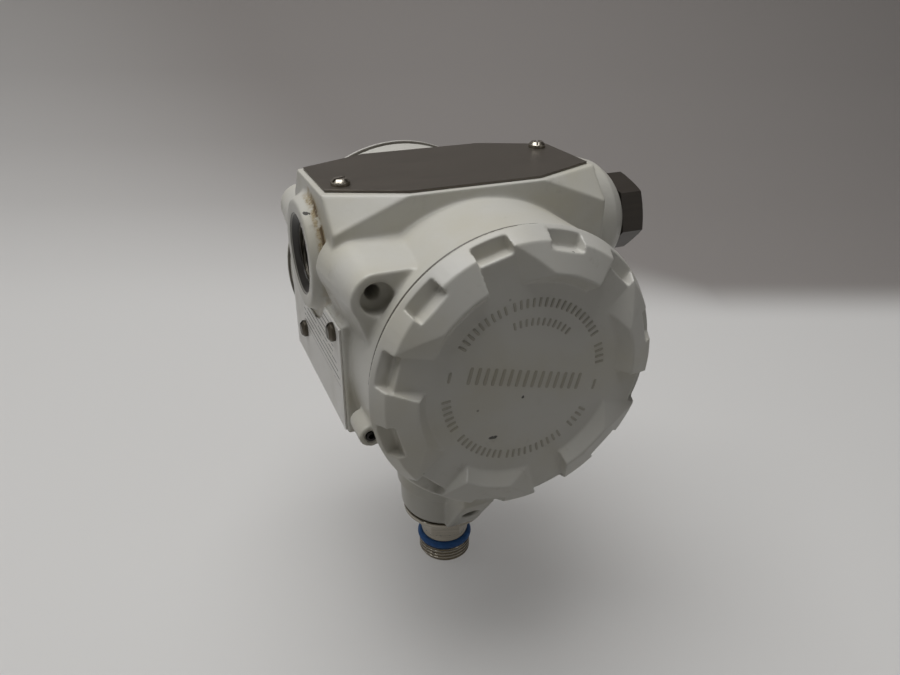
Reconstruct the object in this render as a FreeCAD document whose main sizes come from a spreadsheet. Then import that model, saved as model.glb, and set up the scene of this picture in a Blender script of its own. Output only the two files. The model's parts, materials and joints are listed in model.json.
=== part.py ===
"""Dual-compartment pressure transmitter, as a parametric FreeCAD document in millimetres.

Frame: the origin is the centre of the nose's lower face, +Z is up along the neck, the barrel
runs along Y with its front cover towards -Y, and the open conduit entry is on the -X side.
"""
import FreeCAD, Part
import os
import re
import Sketcher
from FreeCAD import Placement, Rotation, Vector

# ---------------------------------------------------------------- driving dimensions
SIZES = {
    # process connector: the threaded steel nose and the spigot inside the neck
    "nose_thread_r": 10.0,
    "nose_thread_len": 6.6,
    "nose_chamfer": 0.9,
    "o_ring_thick": 3.0,
    "o_ring_outer_r": 10.6,
    "o_ring_gap": 0.05,
    "shoulder_r": 9.2,
    "shoulder_len": 3.0,
    "hex_flats": 18.6,
    "hex_len": 7.4,
    "hex_chamfer": 0.8,
    "hex_turn": 10.0,
    "flange_r": 15.9,
    "flange_thick": 1.6,
    "flange_root_r": 11.0,
    "flange_cone_len": 2.8,
    "spigot_r": 12.0,
    "spigot_len": 23.0,
    "spigot_gap": 0.1,
    "port_r": 4.0,
    "port_len": 21.5,
    "capsule_bore_r": 9.0,
    "seal_ring_thick": 2.2,
    "seal_ring_drop": 4.5,
    # sensing element
    "diaphragm_thick": 0.3,
    "diaphragm_wave": 0.5,
    "capsule_len": 17.0,
    "capsule_gap": 0.05,
    "capsule_pin_r": 0.6,
    "capsule_pin_len": 6.0,
    "capsule_pin_ring_r": 5.0,
    "retainer_len": 4.0,
    "retainer_bore_r": 6.8,
    # housing casting
    "neck_foot_z": 24.2,
    "neck_foot_r": 16.6,
    "neck_r": 17.0,
    "neck_foot_edge": 1.2,
    "neck_foot_taper": 2.2,
    "neck_collar_len": 12.6,
    "neck_waist_r": 18.0,
    "neck_step": 0.8,
    "neck_waist_len": 21.5,
    "neck_throat_r": 18.6,
    "neck_root_r": 23.0,
    "neck_root_sink": 4.0,
    "neck_duct_r": 8.0,
    "barrel_z": 109.5,
    "barrel_r": 42.6,
    "barrel_front": 52.3,
    "barrel_rear": 46.5,
    "barrel_chamfer": 0.5,
    "rim_wall": 3.3,
    "cover_bore_len": 15.0,
    "thread_step": 2.8,
    "wall_front_y": -16.0,
    "wall_thick": 4.0,
    "conduit_rise": 23.2,
    "conduit_bore_r": 10.2,
    "conduit_mouth_r": 12.6,
    "conduit_rim_r": 16.3,
    "conduit_root_r": 19.2,
    "conduit_left_proud": 5.0,
    "conduit_collar_len": 5.0,
    "conduit_right_proud": 16.8,
    "conduit_right_rim_r": 13.4,
    "conduit_right_edge_len": 2.2,
    "conduit_right_nose_r": 16.0,
    "conduit_right_nose_len": 5.8,
    "conduit_right_bend_r": 18.8,
    "conduit_right_cone_len": 11.4,
    "conduit_body_r": 20.6,
    "conduit_bore_len": 12.6,
    "conduit_way_r": 11.4,
    "conduit_inner_x": 12.0,
    "shoulder_proud": 0.6,
    "shoulder_corner": 0.8,
    "shoulder_foot_rise": 18.5,
    "shoulder_slope_len": 8.8,
    "deck_proud": 3.2,
    "deck_margin": 1.6,
    "deck_y": -2.5,
    "lug_x": 37.4,
    "lug_rise": 26.0,
    "lug_r": 7.3,
    "lug_taper": 5.0,
    "lug_flank": 2.9,
    "lug_reach_in": 11.5,
    "lug_drop": 13.0,
    "lug_setback": 5.2,
    "lug_root": 20.0,
    "lug_counterbore_r": 4.6,
    "lug_counterbore_len": 5.0,
    "lug_hole_r": 2.1,
    "lug_hole_len": 14.0,
    "side_pad_proud": 1.8,
    "side_pad_half": 32.0,
    "side_pad_y": -2.0,
    "side_pad_low": 21.8,
    "side_pad_high": 13.4,
    "side_pad_root": 14.0,
    "lock_inset": 0.6,
    "lock_drop": 12.7,
    "lock_r": 3.4,
    "lock_setback": 1.9,
    "lock_boss_len": 10.0,
    "set_screw_z": 35.5,
    "neck_rib_half": 5.8,
    "neck_rib_foot_y": 16.6,
    "neck_rib_bend_y": 31.9,
    "neck_rib_bend_z": 45.2,
    "neck_rib_top_y": 33.0,
    # plates and their screws
    "plate_half": 41.9,
    "plate_end_half": 13.0,
    "plate_mid_half": 22.4,
    "plate_bend_x": 20.4,
    "plate_thick": 0.8,
    "plate_screw_x": 36.4,
    "plate_screw_y": 9.6,
    "side_plate_half": 31.0,
    "side_plate_low": 20.8,
    "side_plate_high": 12.2,
    "side_plate_thick": 0.6,
    "side_plate_clear": 1.0,
    "side_screw_front": 25.0,
    "side_screw_rear": 15.0,
    "side_screw_low": 8.5,
    "side_screw_high": 9.0,
    "screw_r": 1.5,
    "screw_len": 6.0,
    "screw_head_r": 2.8,
    "screw_head_len": 1.9,
    "screw_slot": 0.7,
    "screw_gap": 0.1,
    "screw_edge_share": 0.45,
    "screw_slot_share": 0.4,
    # hexagon-socket set screws
    "set_screw_r": 3.0,
    "set_screw_len": 8.0,
    "set_screw_tip_r": 1.6,
    "set_screw_tip_len": 1.4,
    "set_screw_socket": 3.0,
    "set_screw_gap": 0.3,
    "set_groove_depth": 1.0,
    "set_groove_len": 4.0,
    "lock_screw_r": 1.5,
    "lock_screw_len": 7.0,
    # conduit plug
    "plug_hex_flats": 22.9,
    "plug_hex_len": 8.6,
    "plug_chamfer": 0.9,
    "plug_face_r": 11.4,
    "plug_turn": 15.0,
    "plug_face_len": 0.8,
    "plug_shank_len": 14.0,
    "plug_gap": 0.15,
    # covers
    "cover_seam": 0.35,
    "cover_proud": 0.7,
    "cover_edge": 0.5,
    "cover_rim_len": 0.9,
    "rim_front_inset": 2.7,
    "rim_front_len": 6.4,
    "cover_disc_len": 6.2,
    "ridge_slope_wide": 3.0,
    "ridge_len": 10.0,
    "ridge_inset": 10.9,
    "ridge_flat": 0.4,
    "cover_wall": 3.0,
    "skirt_gap": 0.3,
    "skirt_len": 13.0,
    "skirt_wall": 4.0,
    "recess_count": 6,
    "recess_inner_r": 20.0,
    "recess_half": 5.0,
    "recess_over": 1.0,
    "recess_lean": 0.4,
    "recess_slope": 24.4,
    "notch_count": 12,
    "notch_depth": 5.1,
    "notch_half": 5.1,
    "notch_ledge": 2.5,
    "cover_turn": 45.0,
    "cover_ring_thick": 1.8,
    "cover_ring_gap": 0.3,
    "cover_ring_depth": 2.1,
    # electronics in the front compartment
    "board_r": 32.0,
    "board_thick": 1.6,
    "board_spacer_len": 8.0,
    "board_spacer_r": 2.8,
    "board_screw_ring_r": 27.0,
    "board_screw_r": 1.0,
    "board_screw_grip": 4.0,
    "board_screw_head_r": 2.6,
    "board_screw_head_len": 1.8,
    "chip_size": 14.0,
    "chip_thick": 2.2,
    "can_r": 5.0,
    "can_len": 9.0,
    "socket_wide": 18.0,
    "socket_deep": 6.0,
    "socket_thick": 5.0,
    # terminal block in the rear compartment
    "terminal_wide": 44.0,
    "terminal_deep": 20.0,
    "terminal_thick": 12.0,
    "terminal_drop": 6.0,
    "terminal_ear": 7.0,
    "terminal_ear_thick": 5.0,
    "terminal_pitch": 13.0,
    "terminal_slot": 10.0,
    "terminal_slot_depth": 5.0,
    "terminal_screw_r": 2.0,
    "terminal_screw_len": 5.0,
    "terminal_head_r": 3.4,
    "terminal_head_len": 2.2,
    "clamp_size": 8.0,
    "clamp_thick": 1.2,
    "ground_x": 17.0,
    "ground_rise": 14.0,
    "ground_post_r": 4.5,
    "ground_post_len": 6.0,
    "feed_r": 5.0,
    "feed_flange_r": 6.5,
    "feed_flange_thick": 1.5,
    "feed_rise": 16.0,
    "feed_pin_r": 0.5,
    "feed_pin_len": 5.0,
    "feed_pin_ring_r": 2.6,
}

doc = FreeCAD.newDocument("pressure_transmitter")
sheet = doc.addObject("Spreadsheet::Sheet", "Sizes")
for row, (alias, number) in enumerate(SIZES.items(), start=1):
    sheet.set(f"A{row}", alias)
    sheet.set(f"B{row}", str(number))
    sheet.setAlias(f"B{row}", alias)
doc.recompute()

WORD = re.compile(r"\b(" + "|".join(sorted(SIZES, key=len, reverse=True)) + r")\b")
SUB_PARTS = []


# ---------------------------------------------------------------- helpers
def formula(text):
    """A formula in the sheet's aliases, as FreeCAD writes it."""
    return WORD.sub(r"Sizes.\1", text)


def value(text):
    """The present value of a formula, for the first guess of a sketch."""
    return float(sheet.evalExpression(formula(text)))


def bind(target, name, text):
    """Ties a property to a formula in the sheet's aliases."""
    target.setExpression(name, formula(text))


def place(target, x="0", y="0", z="0", turn=None):
    """Puts an object at a point given by formulas, turned by a fixed rotation."""
    target.Placement = Placement(Vector(value(x), value(y), value(z)), turn or Rotation())
    for axis, text in (("x", x), ("y", y), ("z", z)):
        bind(target, "Placement.Base." + axis, text)


def keep(target, label):
    """Names a finished sub-part and lists it for export."""
    target.Label = label
    SUB_PARTS.append(target)
    return target


def new_body(label):
    """A PartDesign body that becomes one sub-part."""
    return keep(doc.addObject("PartDesign::Body", label + "_body"), label)


def origin_part(body, role):
    """One of a body's own origin planes or axes."""
    return next(item for item in body.Origin.OriginFeatures if item.Role == role)


def new_sketch(body, plane, up="0", side="0", ahead="0"):
    """A sketch on an origin plane, its centre moved in the plane and along its normal."""
    drawing = body.newObject("Sketcher::SketchObject", "Outline")
    drawing.AttachmentSupport = [(origin_part(body, plane), "")]
    drawing.MapMode = "FlatFace"
    for axis, text in (("x", side), ("y", up), ("z", ahead)):
        bind(drawing, "AttachmentOffset.Base." + axis, text)
    return drawing


def add_polygon(drawing, points):
    """Adds a closed outline whose corners are pairs of formulas."""
    first = drawing.GeometryCount
    spots = [Vector(value(x), value(y), 0) for x, y in points]
    count = len(points)
    for index in range(count):
        line = Part.LineSegment(spots[index], spots[(index + 1) % count])
        drawing.addGeometry(line, False)
    for index in range(count):
        after = first + (index + 1) % count
        drawing.addConstraint(Sketcher.Constraint("Coincident", first + index, 2, after, 1))
    for index, corner in enumerate(points):
        for kind, text, number in zip(("DistanceX", "DistanceY"), corner, spots[index]):
            rule = Sketcher.Constraint(kind, first + index, 1, number)
            bind(drawing, f"Constraints[{drawing.addConstraint(rule)}]", text)
    return drawing


def add_circle(drawing, radius, x="0", y="0"):
    """Adds a circle whose centre and radius are formulas."""
    centre = Vector(value(x), value(y), 0)
    index = drawing.addGeometry(Part.Circle(centre, Vector(0, 0, 1), value(radius)), False)
    for kind, text, number in (("DistanceX", x, centre.x), ("DistanceY", y, centre.y)):
        rule = Sketcher.Constraint(kind, index, 3, number)
        bind(drawing, f"Constraints[{drawing.addConstraint(rule)}]", text)
    rule = Sketcher.Constraint("Radius", index, value(radius))
    bind(drawing, f"Constraints[{drawing.addConstraint(rule)}]", radius)
    return drawing


def feature(body, kind, drawing, **settings):
    """Adds a sketch-based feature to a body and makes it the tip."""
    made = body.newObject("PartDesign::" + kind, kind)
    made.Profile = (drawing, [""])
    for name, setting in settings.items():
        if isinstance(setting, str):
            bind(made, name, setting)
        else:
            setattr(made, name, setting)
    body.Tip = made
    return made


def spin(body, kind, drawing, axis):
    """A full Revolution or Groove about one of the sketch's own axes."""
    return feature(body, kind, drawing, ReferenceAxis=(drawing, [axis]), Angle=360)


def pattern(body, original, axis, count):
    """Repeats a feature evenly round one of the body's axes."""
    made = body.newObject("PartDesign::PolarPattern", "PolarPattern")
    made.Originals = [original]
    made.Axis = (origin_part(body, axis), [""])
    made.Angle = 360
    bind(made, "Occurrences", count)
    body.Tip = made
    return made


def solid(kind, name, **settings):
    """A Part primitive with its sizes bound to formulas."""
    made = doc.addObject("Part::" + kind, name)
    for prop, text in settings.items():
        bind(made, prop, text)
    return made


def joined(name, pieces):
    """Fuses Part objects into one."""
    made = doc.addObject("Part::MultiFuse", name)
    made.Shapes = pieces
    return made


def minus(name, base, tool):
    """Cuts one Part object out of another."""
    made = doc.addObject("Part::Cut", name)
    made.Base = base
    made.Tool = tool
    return made


def group(label, pieces):
    """Identical separate solids kept together as one sub-part."""
    made = doc.addObject("Part::Compound", label + "_set")
    made.Links = pieces
    return keep(made, label)


TO_FRONT = Rotation(Vector(1, 0, 0), 90)
TO_REAR = Rotation(Vector(1, 0, 0), -90)
TO_LEFT = Rotation(Vector(0, 1, 0), -90)


# ---------------------------------------------------------------- heights along the nose
RING_FOOT = "nose_thread_len"
RING_TOP = f"({RING_FOOT} + o_ring_thick + 2 * o_ring_gap)"
HEX_FOOT = f"({RING_TOP} + shoulder_len)"
HEX_TOP = f"({HEX_FOOT} + hex_len)"
FLANGE_FOOT = "(neck_foot_z - cover_seam - flange_thick)"
SPIGOT_FOOT = "(neck_foot_z - cover_seam)"
SPIGOT_TOP = f"({SPIGOT_FOOT} + spigot_len)"
GROOVE_FLOOR = "(o_ring_outer_r - o_ring_thick - o_ring_gap)"
SEAL_Z = f"({SPIGOT_TOP} - seal_ring_drop)"
CAPSULE_FOOT = "(port_len + diaphragm_thick + capsule_gap)"
CAPSULE_TOP = f"({CAPSULE_FOOT} + capsule_len)"
# stations round and along the barrel
COVER_BORE_R = "(barrel_r - rim_wall)"
CAVITY_R = f"({COVER_BORE_R} - thread_step)"
COVER_R = "(barrel_r + cover_proud)"
RIDGE_R = f"({COVER_R} - ridge_inset)"
CONDUIT_Z = "(barrel_z + conduit_rise)"
LEFT_END = "(barrel_r + conduit_left_proud)"
RIGHT_END = "(barrel_r + conduit_right_proud)"
SHOULDER_X = "(barrel_r + shoulder_proud)"
SHOULDER_FOOT_Z = "(barrel_z + shoulder_foot_rise)"
DECK_Z = "(barrel_z + barrel_r + deck_proud)"
CREASE_Z = f"({DECK_Z} - shoulder_slope_len)"
PAD_X = "(barrel_r + side_pad_proud)"
LOCK_X = "(barrel_r - lock_inset)"
SET_SCREW_Y = "(spigot_r - set_groove_depth + set_screw_gap + set_screw_tip_len + set_screw_len)"
LUG_FACE_Y = "(lug_setback - barrel_front)"
LUG_ROOT_Y = "(-lug_root)"
REAR_LUG_FACE_Y = "(barrel_rear - lug_setback)"
LOCK_FACE_Y = "(lock_setback - barrel_front)"
WALL_REAR_Y = "(wall_front_y + wall_thick)"
SIDE_SCREWS = (("side_pad_y - side_screw_front", "side_screw_high"),
               ("side_pad_y + side_screw_rear", "-side_screw_low"))


def process_connector():
    """Threaded nose, O-ring groove, hexagon, flange and the spigot that the neck turns on."""
    body = new_body("process_connector")
    seal_half = "(seal_ring_thick / 2 + cover_ring_gap)"
    outline = new_sketch(body, "XZ_Plane")
    add_polygon(outline, [
        ("port_r", "0"),
        ("nose_thread_r - nose_chamfer", "0"),
        ("nose_thread_r", "nose_chamfer"),
        ("nose_thread_r", RING_FOOT),
        (GROOVE_FLOOR, RING_FOOT),
        (GROOVE_FLOOR, RING_TOP),
        ("shoulder_r", RING_TOP),
        ("shoulder_r", f"{FLANGE_FOOT} - flange_cone_len"),
        ("flange_root_r", f"{FLANGE_FOOT} - flange_cone_len"),
        ("flange_r", FLANGE_FOOT),
        ("flange_r", SPIGOT_FOOT),
        ("spigot_r", SPIGOT_FOOT),
        ("spigot_r", "set_screw_z - set_groove_len / 2"),
        ("spigot_r - set_groove_depth", "set_screw_z - set_groove_len / 2"),
        ("spigot_r - set_groove_depth", "set_screw_z + set_groove_len / 2"),
        ("spigot_r", "set_screw_z + set_groove_len / 2"),
        ("spigot_r", f"{SEAL_Z} - {seal_half}"),
        ("spigot_r - seal_ring_thick", f"{SEAL_Z} - {seal_half}"),
        ("spigot_r - seal_ring_thick", f"{SEAL_Z} + {seal_half}"),
        ("spigot_r", f"{SEAL_Z} + {seal_half}"),
        ("spigot_r", f"{SPIGOT_TOP} - nose_chamfer"),
        ("spigot_r - nose_chamfer", SPIGOT_TOP),
        ("capsule_bore_r", SPIGOT_TOP),
        ("capsule_bore_r", "port_len"),
        ("port_r", "port_len"),
    ])
    spin(body, "Revolution", outline, "V_Axis")
    flats = new_sketch(body, "XY_Plane", ahead=HEX_FOOT)
    corner = "(hex_flats / 2 / cos(30))"
    add_polygon(flats, [
        (f"{corner} * cos(hex_turn + {30 + 60 * step})", f"{corner} * sin(hex_turn + {30 + 60 * step})")
        for step in range(6)
    ])
    add_circle(flats, "port_r")
    feature(body, "Pad", flats, Length="hex_len")
    bevel = new_sketch(body, "XZ_Plane", up=HEX_FOOT)
    add_polygon(bevel, [
        ("hex_flats / 2", "-hex_chamfer"),
        ("hex_flats", "-hex_chamfer"),
        ("hex_flats", "hex_flats / 2"),
        ("hex_flats / 2", "0"),
    ])
    spin(body, "Groove", bevel, "V_Axis")


def ring(label, centre_r, thick, z):
    """A plain O-ring about the Z axis."""
    torus = solid("Torus", label + "_torus", Radius1=centre_r, Radius2=f"({thick}) / 2")
    place(torus, z=z)
    return keep(torus, label)


def sensing_element():
    """Wavy isolating diaphragm, oil-filled capsule with its pins, and the ring nut above it."""
    body = new_body("isolating_diaphragm")
    rim = "(capsule_bore_r - capsule_gap)"
    outline = new_sketch(body, "XZ_Plane", up="port_len")
    waves = 3
    lower = []
    for step in range(2 * waves + 1):
        share = f"{rim} * {(step + 1) / (2 * waves + 3):.4f}"
        rise = "diaphragm_wave" if step % 2 else "0"
        lower.append((share, rise))
    upper = [(x, f"{z} + diaphragm_thick") for x, z in reversed(lower)]
    add_polygon(outline, [("0", "0")] + lower + [(rim, "0"), (rim, "diaphragm_thick")] + upper
                + [("0", "diaphragm_thick")])
    spin(body, "Revolution", outline, "V_Axis")

    capsule = new_body("sensor_capsule")
    outline = new_sketch(capsule, "XZ_Plane", up=CAPSULE_FOOT)
    add_polygon(outline, [
        ("0", "diaphragm_wave + capsule_gap"),
        (f"{rim} * 0.9", "diaphragm_wave + capsule_gap"),
        (f"{rim} * 0.9", "0"),
        (rim, "0"),
        (rim, "capsule_len"),
        ("0", "capsule_len"),
    ])
    spin(capsule, "Revolution", outline, "V_Axis")
    pin = new_sketch(capsule, "XY_Plane", ahead=f"{CAPSULE_TOP} - 1")
    add_circle(pin, "capsule_pin_r", x="capsule_pin_ring_r")
    pattern(capsule, feature(capsule, "Pad", pin, Length="capsule_pin_len + 1"), "Z_Axis", "5")

    nut = new_body("capsule_ring_nut")
    outline = new_sketch(nut, "XZ_Plane", up=f"{CAPSULE_TOP} + capsule_gap")
    add_polygon(outline, [
        ("retainer_bore_r", "0"),
        (rim, "0"),
        (rim, "retainer_len"),
        ("retainer_bore_r", "retainer_len"),
    ])
    spin(nut, "Revolution", outline, "V_Axis")


# ---------------------------------------------------------------- housing casting
def deck_outline(margin):
    """Eight corners of the top plate, grown by a margin."""
    end_x = f"(plate_half + {margin})"
    end_y = f"(plate_end_half + {margin})"
    mid_y = f"(plate_mid_half + {margin})"
    return octagon(end_x, end_y, "plate_bend_x", mid_y, "deck_y")


def octagon(end_x, end_y, bend_x, mid_y, centre_y):
    """Eight corners of a long octagon that is widest in its middle."""
    return [
        (f"-{end_x}", f"{centre_y} - {end_y}"),
        (f"-{bend_x}", f"{centre_y} - {mid_y}"),
        (f"{bend_x}", f"{centre_y} - {mid_y}"),
        (f"{end_x}", f"{centre_y} - {end_y}"),
        (f"{end_x}", f"{centre_y} + {end_y}"),
        (f"{bend_x}", f"{centre_y} + {mid_y}"),
        (f"-{bend_x}", f"{centre_y} + {mid_y}"),
        (f"-{end_x}", f"{centre_y} + {end_y}"),
    ]


def housing_casting():
    """One casting: barrel, shoulders, conduit bosses, lugs, pads and neck, bored afterwards."""
    body = new_body("housing_casting")

    barrel = new_sketch(body, "YZ_Plane", up="barrel_z")
    add_polygon(barrel, [
        ("-barrel_front", "0"),
        ("-barrel_front", "barrel_r - barrel_chamfer"),
        ("-barrel_front + barrel_chamfer", "barrel_r"),
        ("barrel_rear - barrel_chamfer", "barrel_r"),
        ("barrel_rear", "barrel_r - barrel_chamfer"),
        ("barrel_rear", "0"),
    ])
    spin(body, "Revolution", barrel, "H_Axis")

    neck = new_sketch(body, "XZ_Plane", up="neck_foot_z")
    add_polygon(neck, [
        ("0", "0"),
        ("neck_foot_r - neck_foot_edge", "0"),
        ("neck_foot_r", "neck_foot_taper"),
        ("neck_r", "neck_collar_len - neck_step"),
        ("neck_waist_r", "neck_collar_len"),
        ("neck_throat_r", "neck_waist_len"),
        ("neck_root_r", "barrel_z - barrel_r + neck_root_sink - neck_foot_z"),
        ("0", "barrel_z - barrel_r + neck_root_sink - neck_foot_z"),
    ])
    spin(body, "Revolution", neck, "V_Axis")

    shoulder_y = "(plate_mid_half + deck_margin)"
    corners = octagon(SHOULDER_X, f"({shoulder_y} - shoulder_corner)",
                      f"({SHOULDER_X} - shoulder_corner)", shoulder_y, "deck_y")
    block = new_sketch(body, "XY_Plane", ahead=SHOULDER_FOOT_Z)
    add_polygon(block, corners)
    feature(body, "Pad", block, Length=f"{CREASE_Z} - {SHOULDER_FOOT_Z}")
    foot = new_sketch(body, "XY_Plane", ahead=CREASE_Z)
    add_polygon(foot, corners)
    deck = new_sketch(body, "XY_Plane", ahead=DECK_Z)
    add_polygon(deck, deck_outline("deck_margin"))
    loft = body.newObject("PartDesign::AdditiveLoft", "AdditiveLoft")
    loft.Profile = foot
    loft.Sections = [deck]
    loft.Ruled = True
    body.Tip = loft

    conduits = new_sketch(body, "XZ_Plane", up=CONDUIT_Z)
    add_polygon(conduits, [
        (f"-{LEFT_END}", "0"),
        (f"-{LEFT_END}", "conduit_rim_r"),
        (f"conduit_collar_len - {LEFT_END}", "conduit_root_r"),
        (f"conduit_collar_len - {LEFT_END}", "conduit_body_r"),
        (f"{RIGHT_END} - conduit_right_cone_len", "conduit_body_r"),
        (f"{RIGHT_END} - conduit_right_nose_len", "conduit_right_bend_r"),
        (f"{RIGHT_END} - conduit_right_edge_len", "conduit_right_nose_r"),
        (RIGHT_END, "conduit_right_rim_r"),
        (RIGHT_END, "0"),
    ])
    spin(body, "Revolution", conduits, "H_Axis")

    for face, reach, backwards in ((LUG_FACE_Y, f"{LUG_ROOT_Y} - {LUG_FACE_Y}", True),
                                   (REAR_LUG_FACE_Y, f"{REAR_LUG_FACE_Y} - lug_root", False)):
        lug = new_sketch(body, "XZ_Plane", up="barrel_z", ahead=f"-{face}")
        add_polygon(lug, [
            ("lug_reach_in - lug_x", "lug_rise + lug_r"),
            ("-lug_x", "lug_rise + lug_r"),
            ("-lug_x - lug_r", "lug_rise"),
            ("-lug_x - lug_flank", "lug_rise - lug_drop"),
            ("lug_reach_in - lug_x", "lug_rise - lug_drop"),
        ])
        feature(body, "Pad", lug, Length=reach, TaperAngle="lug_taper", Reversed=backwards)
        eye = new_sketch(body, "XZ_Plane", up="barrel_z", ahead=f"-{face}")
        add_circle(eye, "lug_r", x="-lug_x", y="lug_rise")
        feature(body, "Pad", eye, Length=reach, TaperAngle="lug_taper", Reversed=backwards)

    pad = new_sketch(body, "YZ_Plane", up="barrel_z", ahead=f"-{PAD_X}")
    add_polygon(pad, [
        ("side_pad_y - side_pad_half", "-side_pad_low"),
        ("side_pad_y + side_pad_half", "-side_pad_low"),
        ("side_pad_y + side_pad_half", "side_pad_high"),
        ("side_pad_y - side_pad_half", "side_pad_high"),
    ])
    feature(body, "Pad", pad, Length="side_pad_root")

    lock = new_sketch(body, "XZ_Plane", up="barrel_z", ahead=f"-{LOCK_FACE_Y} - lock_boss_len")
    add_circle(lock, "lock_r", x=f"-{LOCK_X}", y="-lock_drop")
    feature(body, "Pad", lock, Length="lock_boss_len")

    rib_top_z = "(barrel_z - barrel_r + neck_root_sink)"
    rib = new_sketch(body, "YZ_Plane", ahead="-neck_rib_half")
    add_polygon(rib, [
        ("0", "neck_foot_z"),
        ("-neck_rib_foot_y", "neck_foot_z"),
        ("-neck_rib_bend_y", "neck_rib_bend_z"),
        ("-neck_rib_top_y", rib_top_z),
        ("0", rib_top_z),
    ])
    feature(body, "Pad", rib, Length="2 * neck_rib_half")

    for side, end, wall in (("-", "barrel_front", "wall_front_y"), ("", "barrel_rear", WALL_REAR_Y)):
        chamber = new_sketch(body, "YZ_Plane", up="barrel_z")
        add_polygon(chamber, [
            (f"{side}({end} + 1)", "0"),
            (f"{side}({end} + 1)", COVER_BORE_R),
            (f"{side}({end} - cover_bore_len)", COVER_BORE_R),
            (f"{side}({end} - cover_bore_len)", CAVITY_R),
            (wall, CAVITY_R),
            (wall, "0"),
        ])
        spin(body, "Groove", chamber, "H_Axis")

    for side, reach in (("-", LEFT_END), ("", RIGHT_END)):
        entry = new_sketch(body, "XZ_Plane", up=CONDUIT_Z)
        add_polygon(entry, [
            (f"{side}({reach} + 1)", "0"),
            (f"{side}({reach} + 1)", "conduit_mouth_r"),
            (f"{side}{reach}", "conduit_mouth_r"),
            (f"{side}({reach} - conduit_mouth_r + conduit_bore_r)", "conduit_bore_r"),
            (f"{side}({reach} - conduit_bore_len)", "conduit_bore_r"),
            (f"{side}({reach} - conduit_bore_len)", "conduit_way_r"),
            (f"{side}conduit_inner_x", "conduit_way_r"),
            (f"{side}conduit_inner_x", "0"),
        ])
        spin(body, "Groove", entry, "H_Axis")

    socket = new_sketch(body, "XZ_Plane", up="neck_foot_z")
    add_polygon(socket, [
        ("0", "-1"),
        ("spigot_r + spigot_gap", "-1"),
        ("spigot_r + spigot_gap", "spigot_len + 1"),
        ("neck_duct_r", "spigot_len + 3"),
        ("neck_duct_r", f"barrel_z - {CAVITY_R} - neck_foot_z + 4"),
        ("0", f"barrel_z - {CAVITY_R} - neck_foot_z + 4"),
    ])
    spin(body, "Groove", socket, "V_Axis")

    def drill(plane, radius, length, x, y, ahead, other_way=False):
        hole = new_sketch(body, plane, ahead=ahead)
        add_circle(hole, radius, x=x, y=y)
        feature(body, "Pocket", hole, Length=length, Reversed=other_way)

    screw_hole = "screw_r + screw_gap"
    for side in ("-", ""):
        drill("XY_Plane", screw_hole, "screw_len + 1", f"{side}plate_screw_x",
              f"deck_y + ({side}plate_screw_y)", DECK_Z)
    for face, backwards in ((LUG_FACE_Y, False), (REAR_LUG_FACE_Y, True)):
        for radius, depth in (("lug_counterbore_r", "lug_counterbore_len"), ("lug_hole_r", "lug_hole_len")):
            drill("XZ_Plane", radius, depth, "-lug_x", "barrel_z + lug_rise", f"-{face}", backwards)
    for y, z in SIDE_SCREWS:
        drill("YZ_Plane", screw_hole, "screw_len + 1", y, f"barrel_z + ({z})", f"-{PAD_X}", True)
    drill("XZ_Plane", "set_screw_r + screw_gap", "neck_rib_top_y", "0", "set_screw_z", "neck_rib_top_y")
    drill("XZ_Plane", "lock_screw_r + screw_gap", "lock_screw_len + 1", f"-{LOCK_X}",
          "barrel_z - lock_drop", f"-{LOCK_FACE_Y}")
    drill("XZ_Plane", "feed_r + screw_gap", "wall_thick + 2", "0", "barrel_z + feed_rise",
          "-wall_front_y + 1")


# ---------------------------------------------------------------- plates
def name_plate():
    """Plain octagonal steel plate on the deck, with a hole at two opposite corners."""
    body = new_body("name_plate")
    outline = new_sketch(body, "XY_Plane", ahead=DECK_Z)
    add_polygon(outline, deck_outline("0"))
    for side in ("-", ""):
        add_circle(outline, "screw_r + 2 * screw_gap", x=f"{side}plate_screw_x",
                   y=f"deck_y + ({side}plate_screw_y)")
    feature(body, "Pad", outline, Length="plate_thick")


def side_plate():
    """Plain plate on the left pad, cut away round the conduit boss above it."""
    body = new_body("side_plate")
    outline = new_sketch(body, "YZ_Plane", up="barrel_z", ahead=f"-{PAD_X}")
    add_polygon(outline, [
        ("side_pad_y - side_plate_half", "-side_plate_low"),
        ("side_pad_y + side_plate_half", "-side_plate_low"),
        ("side_pad_y + side_plate_half", "side_plate_high"),
        ("side_pad_y - side_plate_half", "side_plate_high"),
    ])
    for y, z in SIDE_SCREWS:
        add_circle(outline, "screw_r + 2 * screw_gap", x=y, y=z)
    feature(body, "Pad", outline, Length="side_plate_thick", Reversed=True)
    arch = new_sketch(body, "YZ_Plane", up=CONDUIT_Z, ahead=f"-{PAD_X} - 2 * side_plate_thick")
    add_circle(arch, "conduit_root_r + side_plate_clear")
    feature(body, "Pocket", arch, Length="3 * side_plate_thick", Reversed=True)


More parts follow.
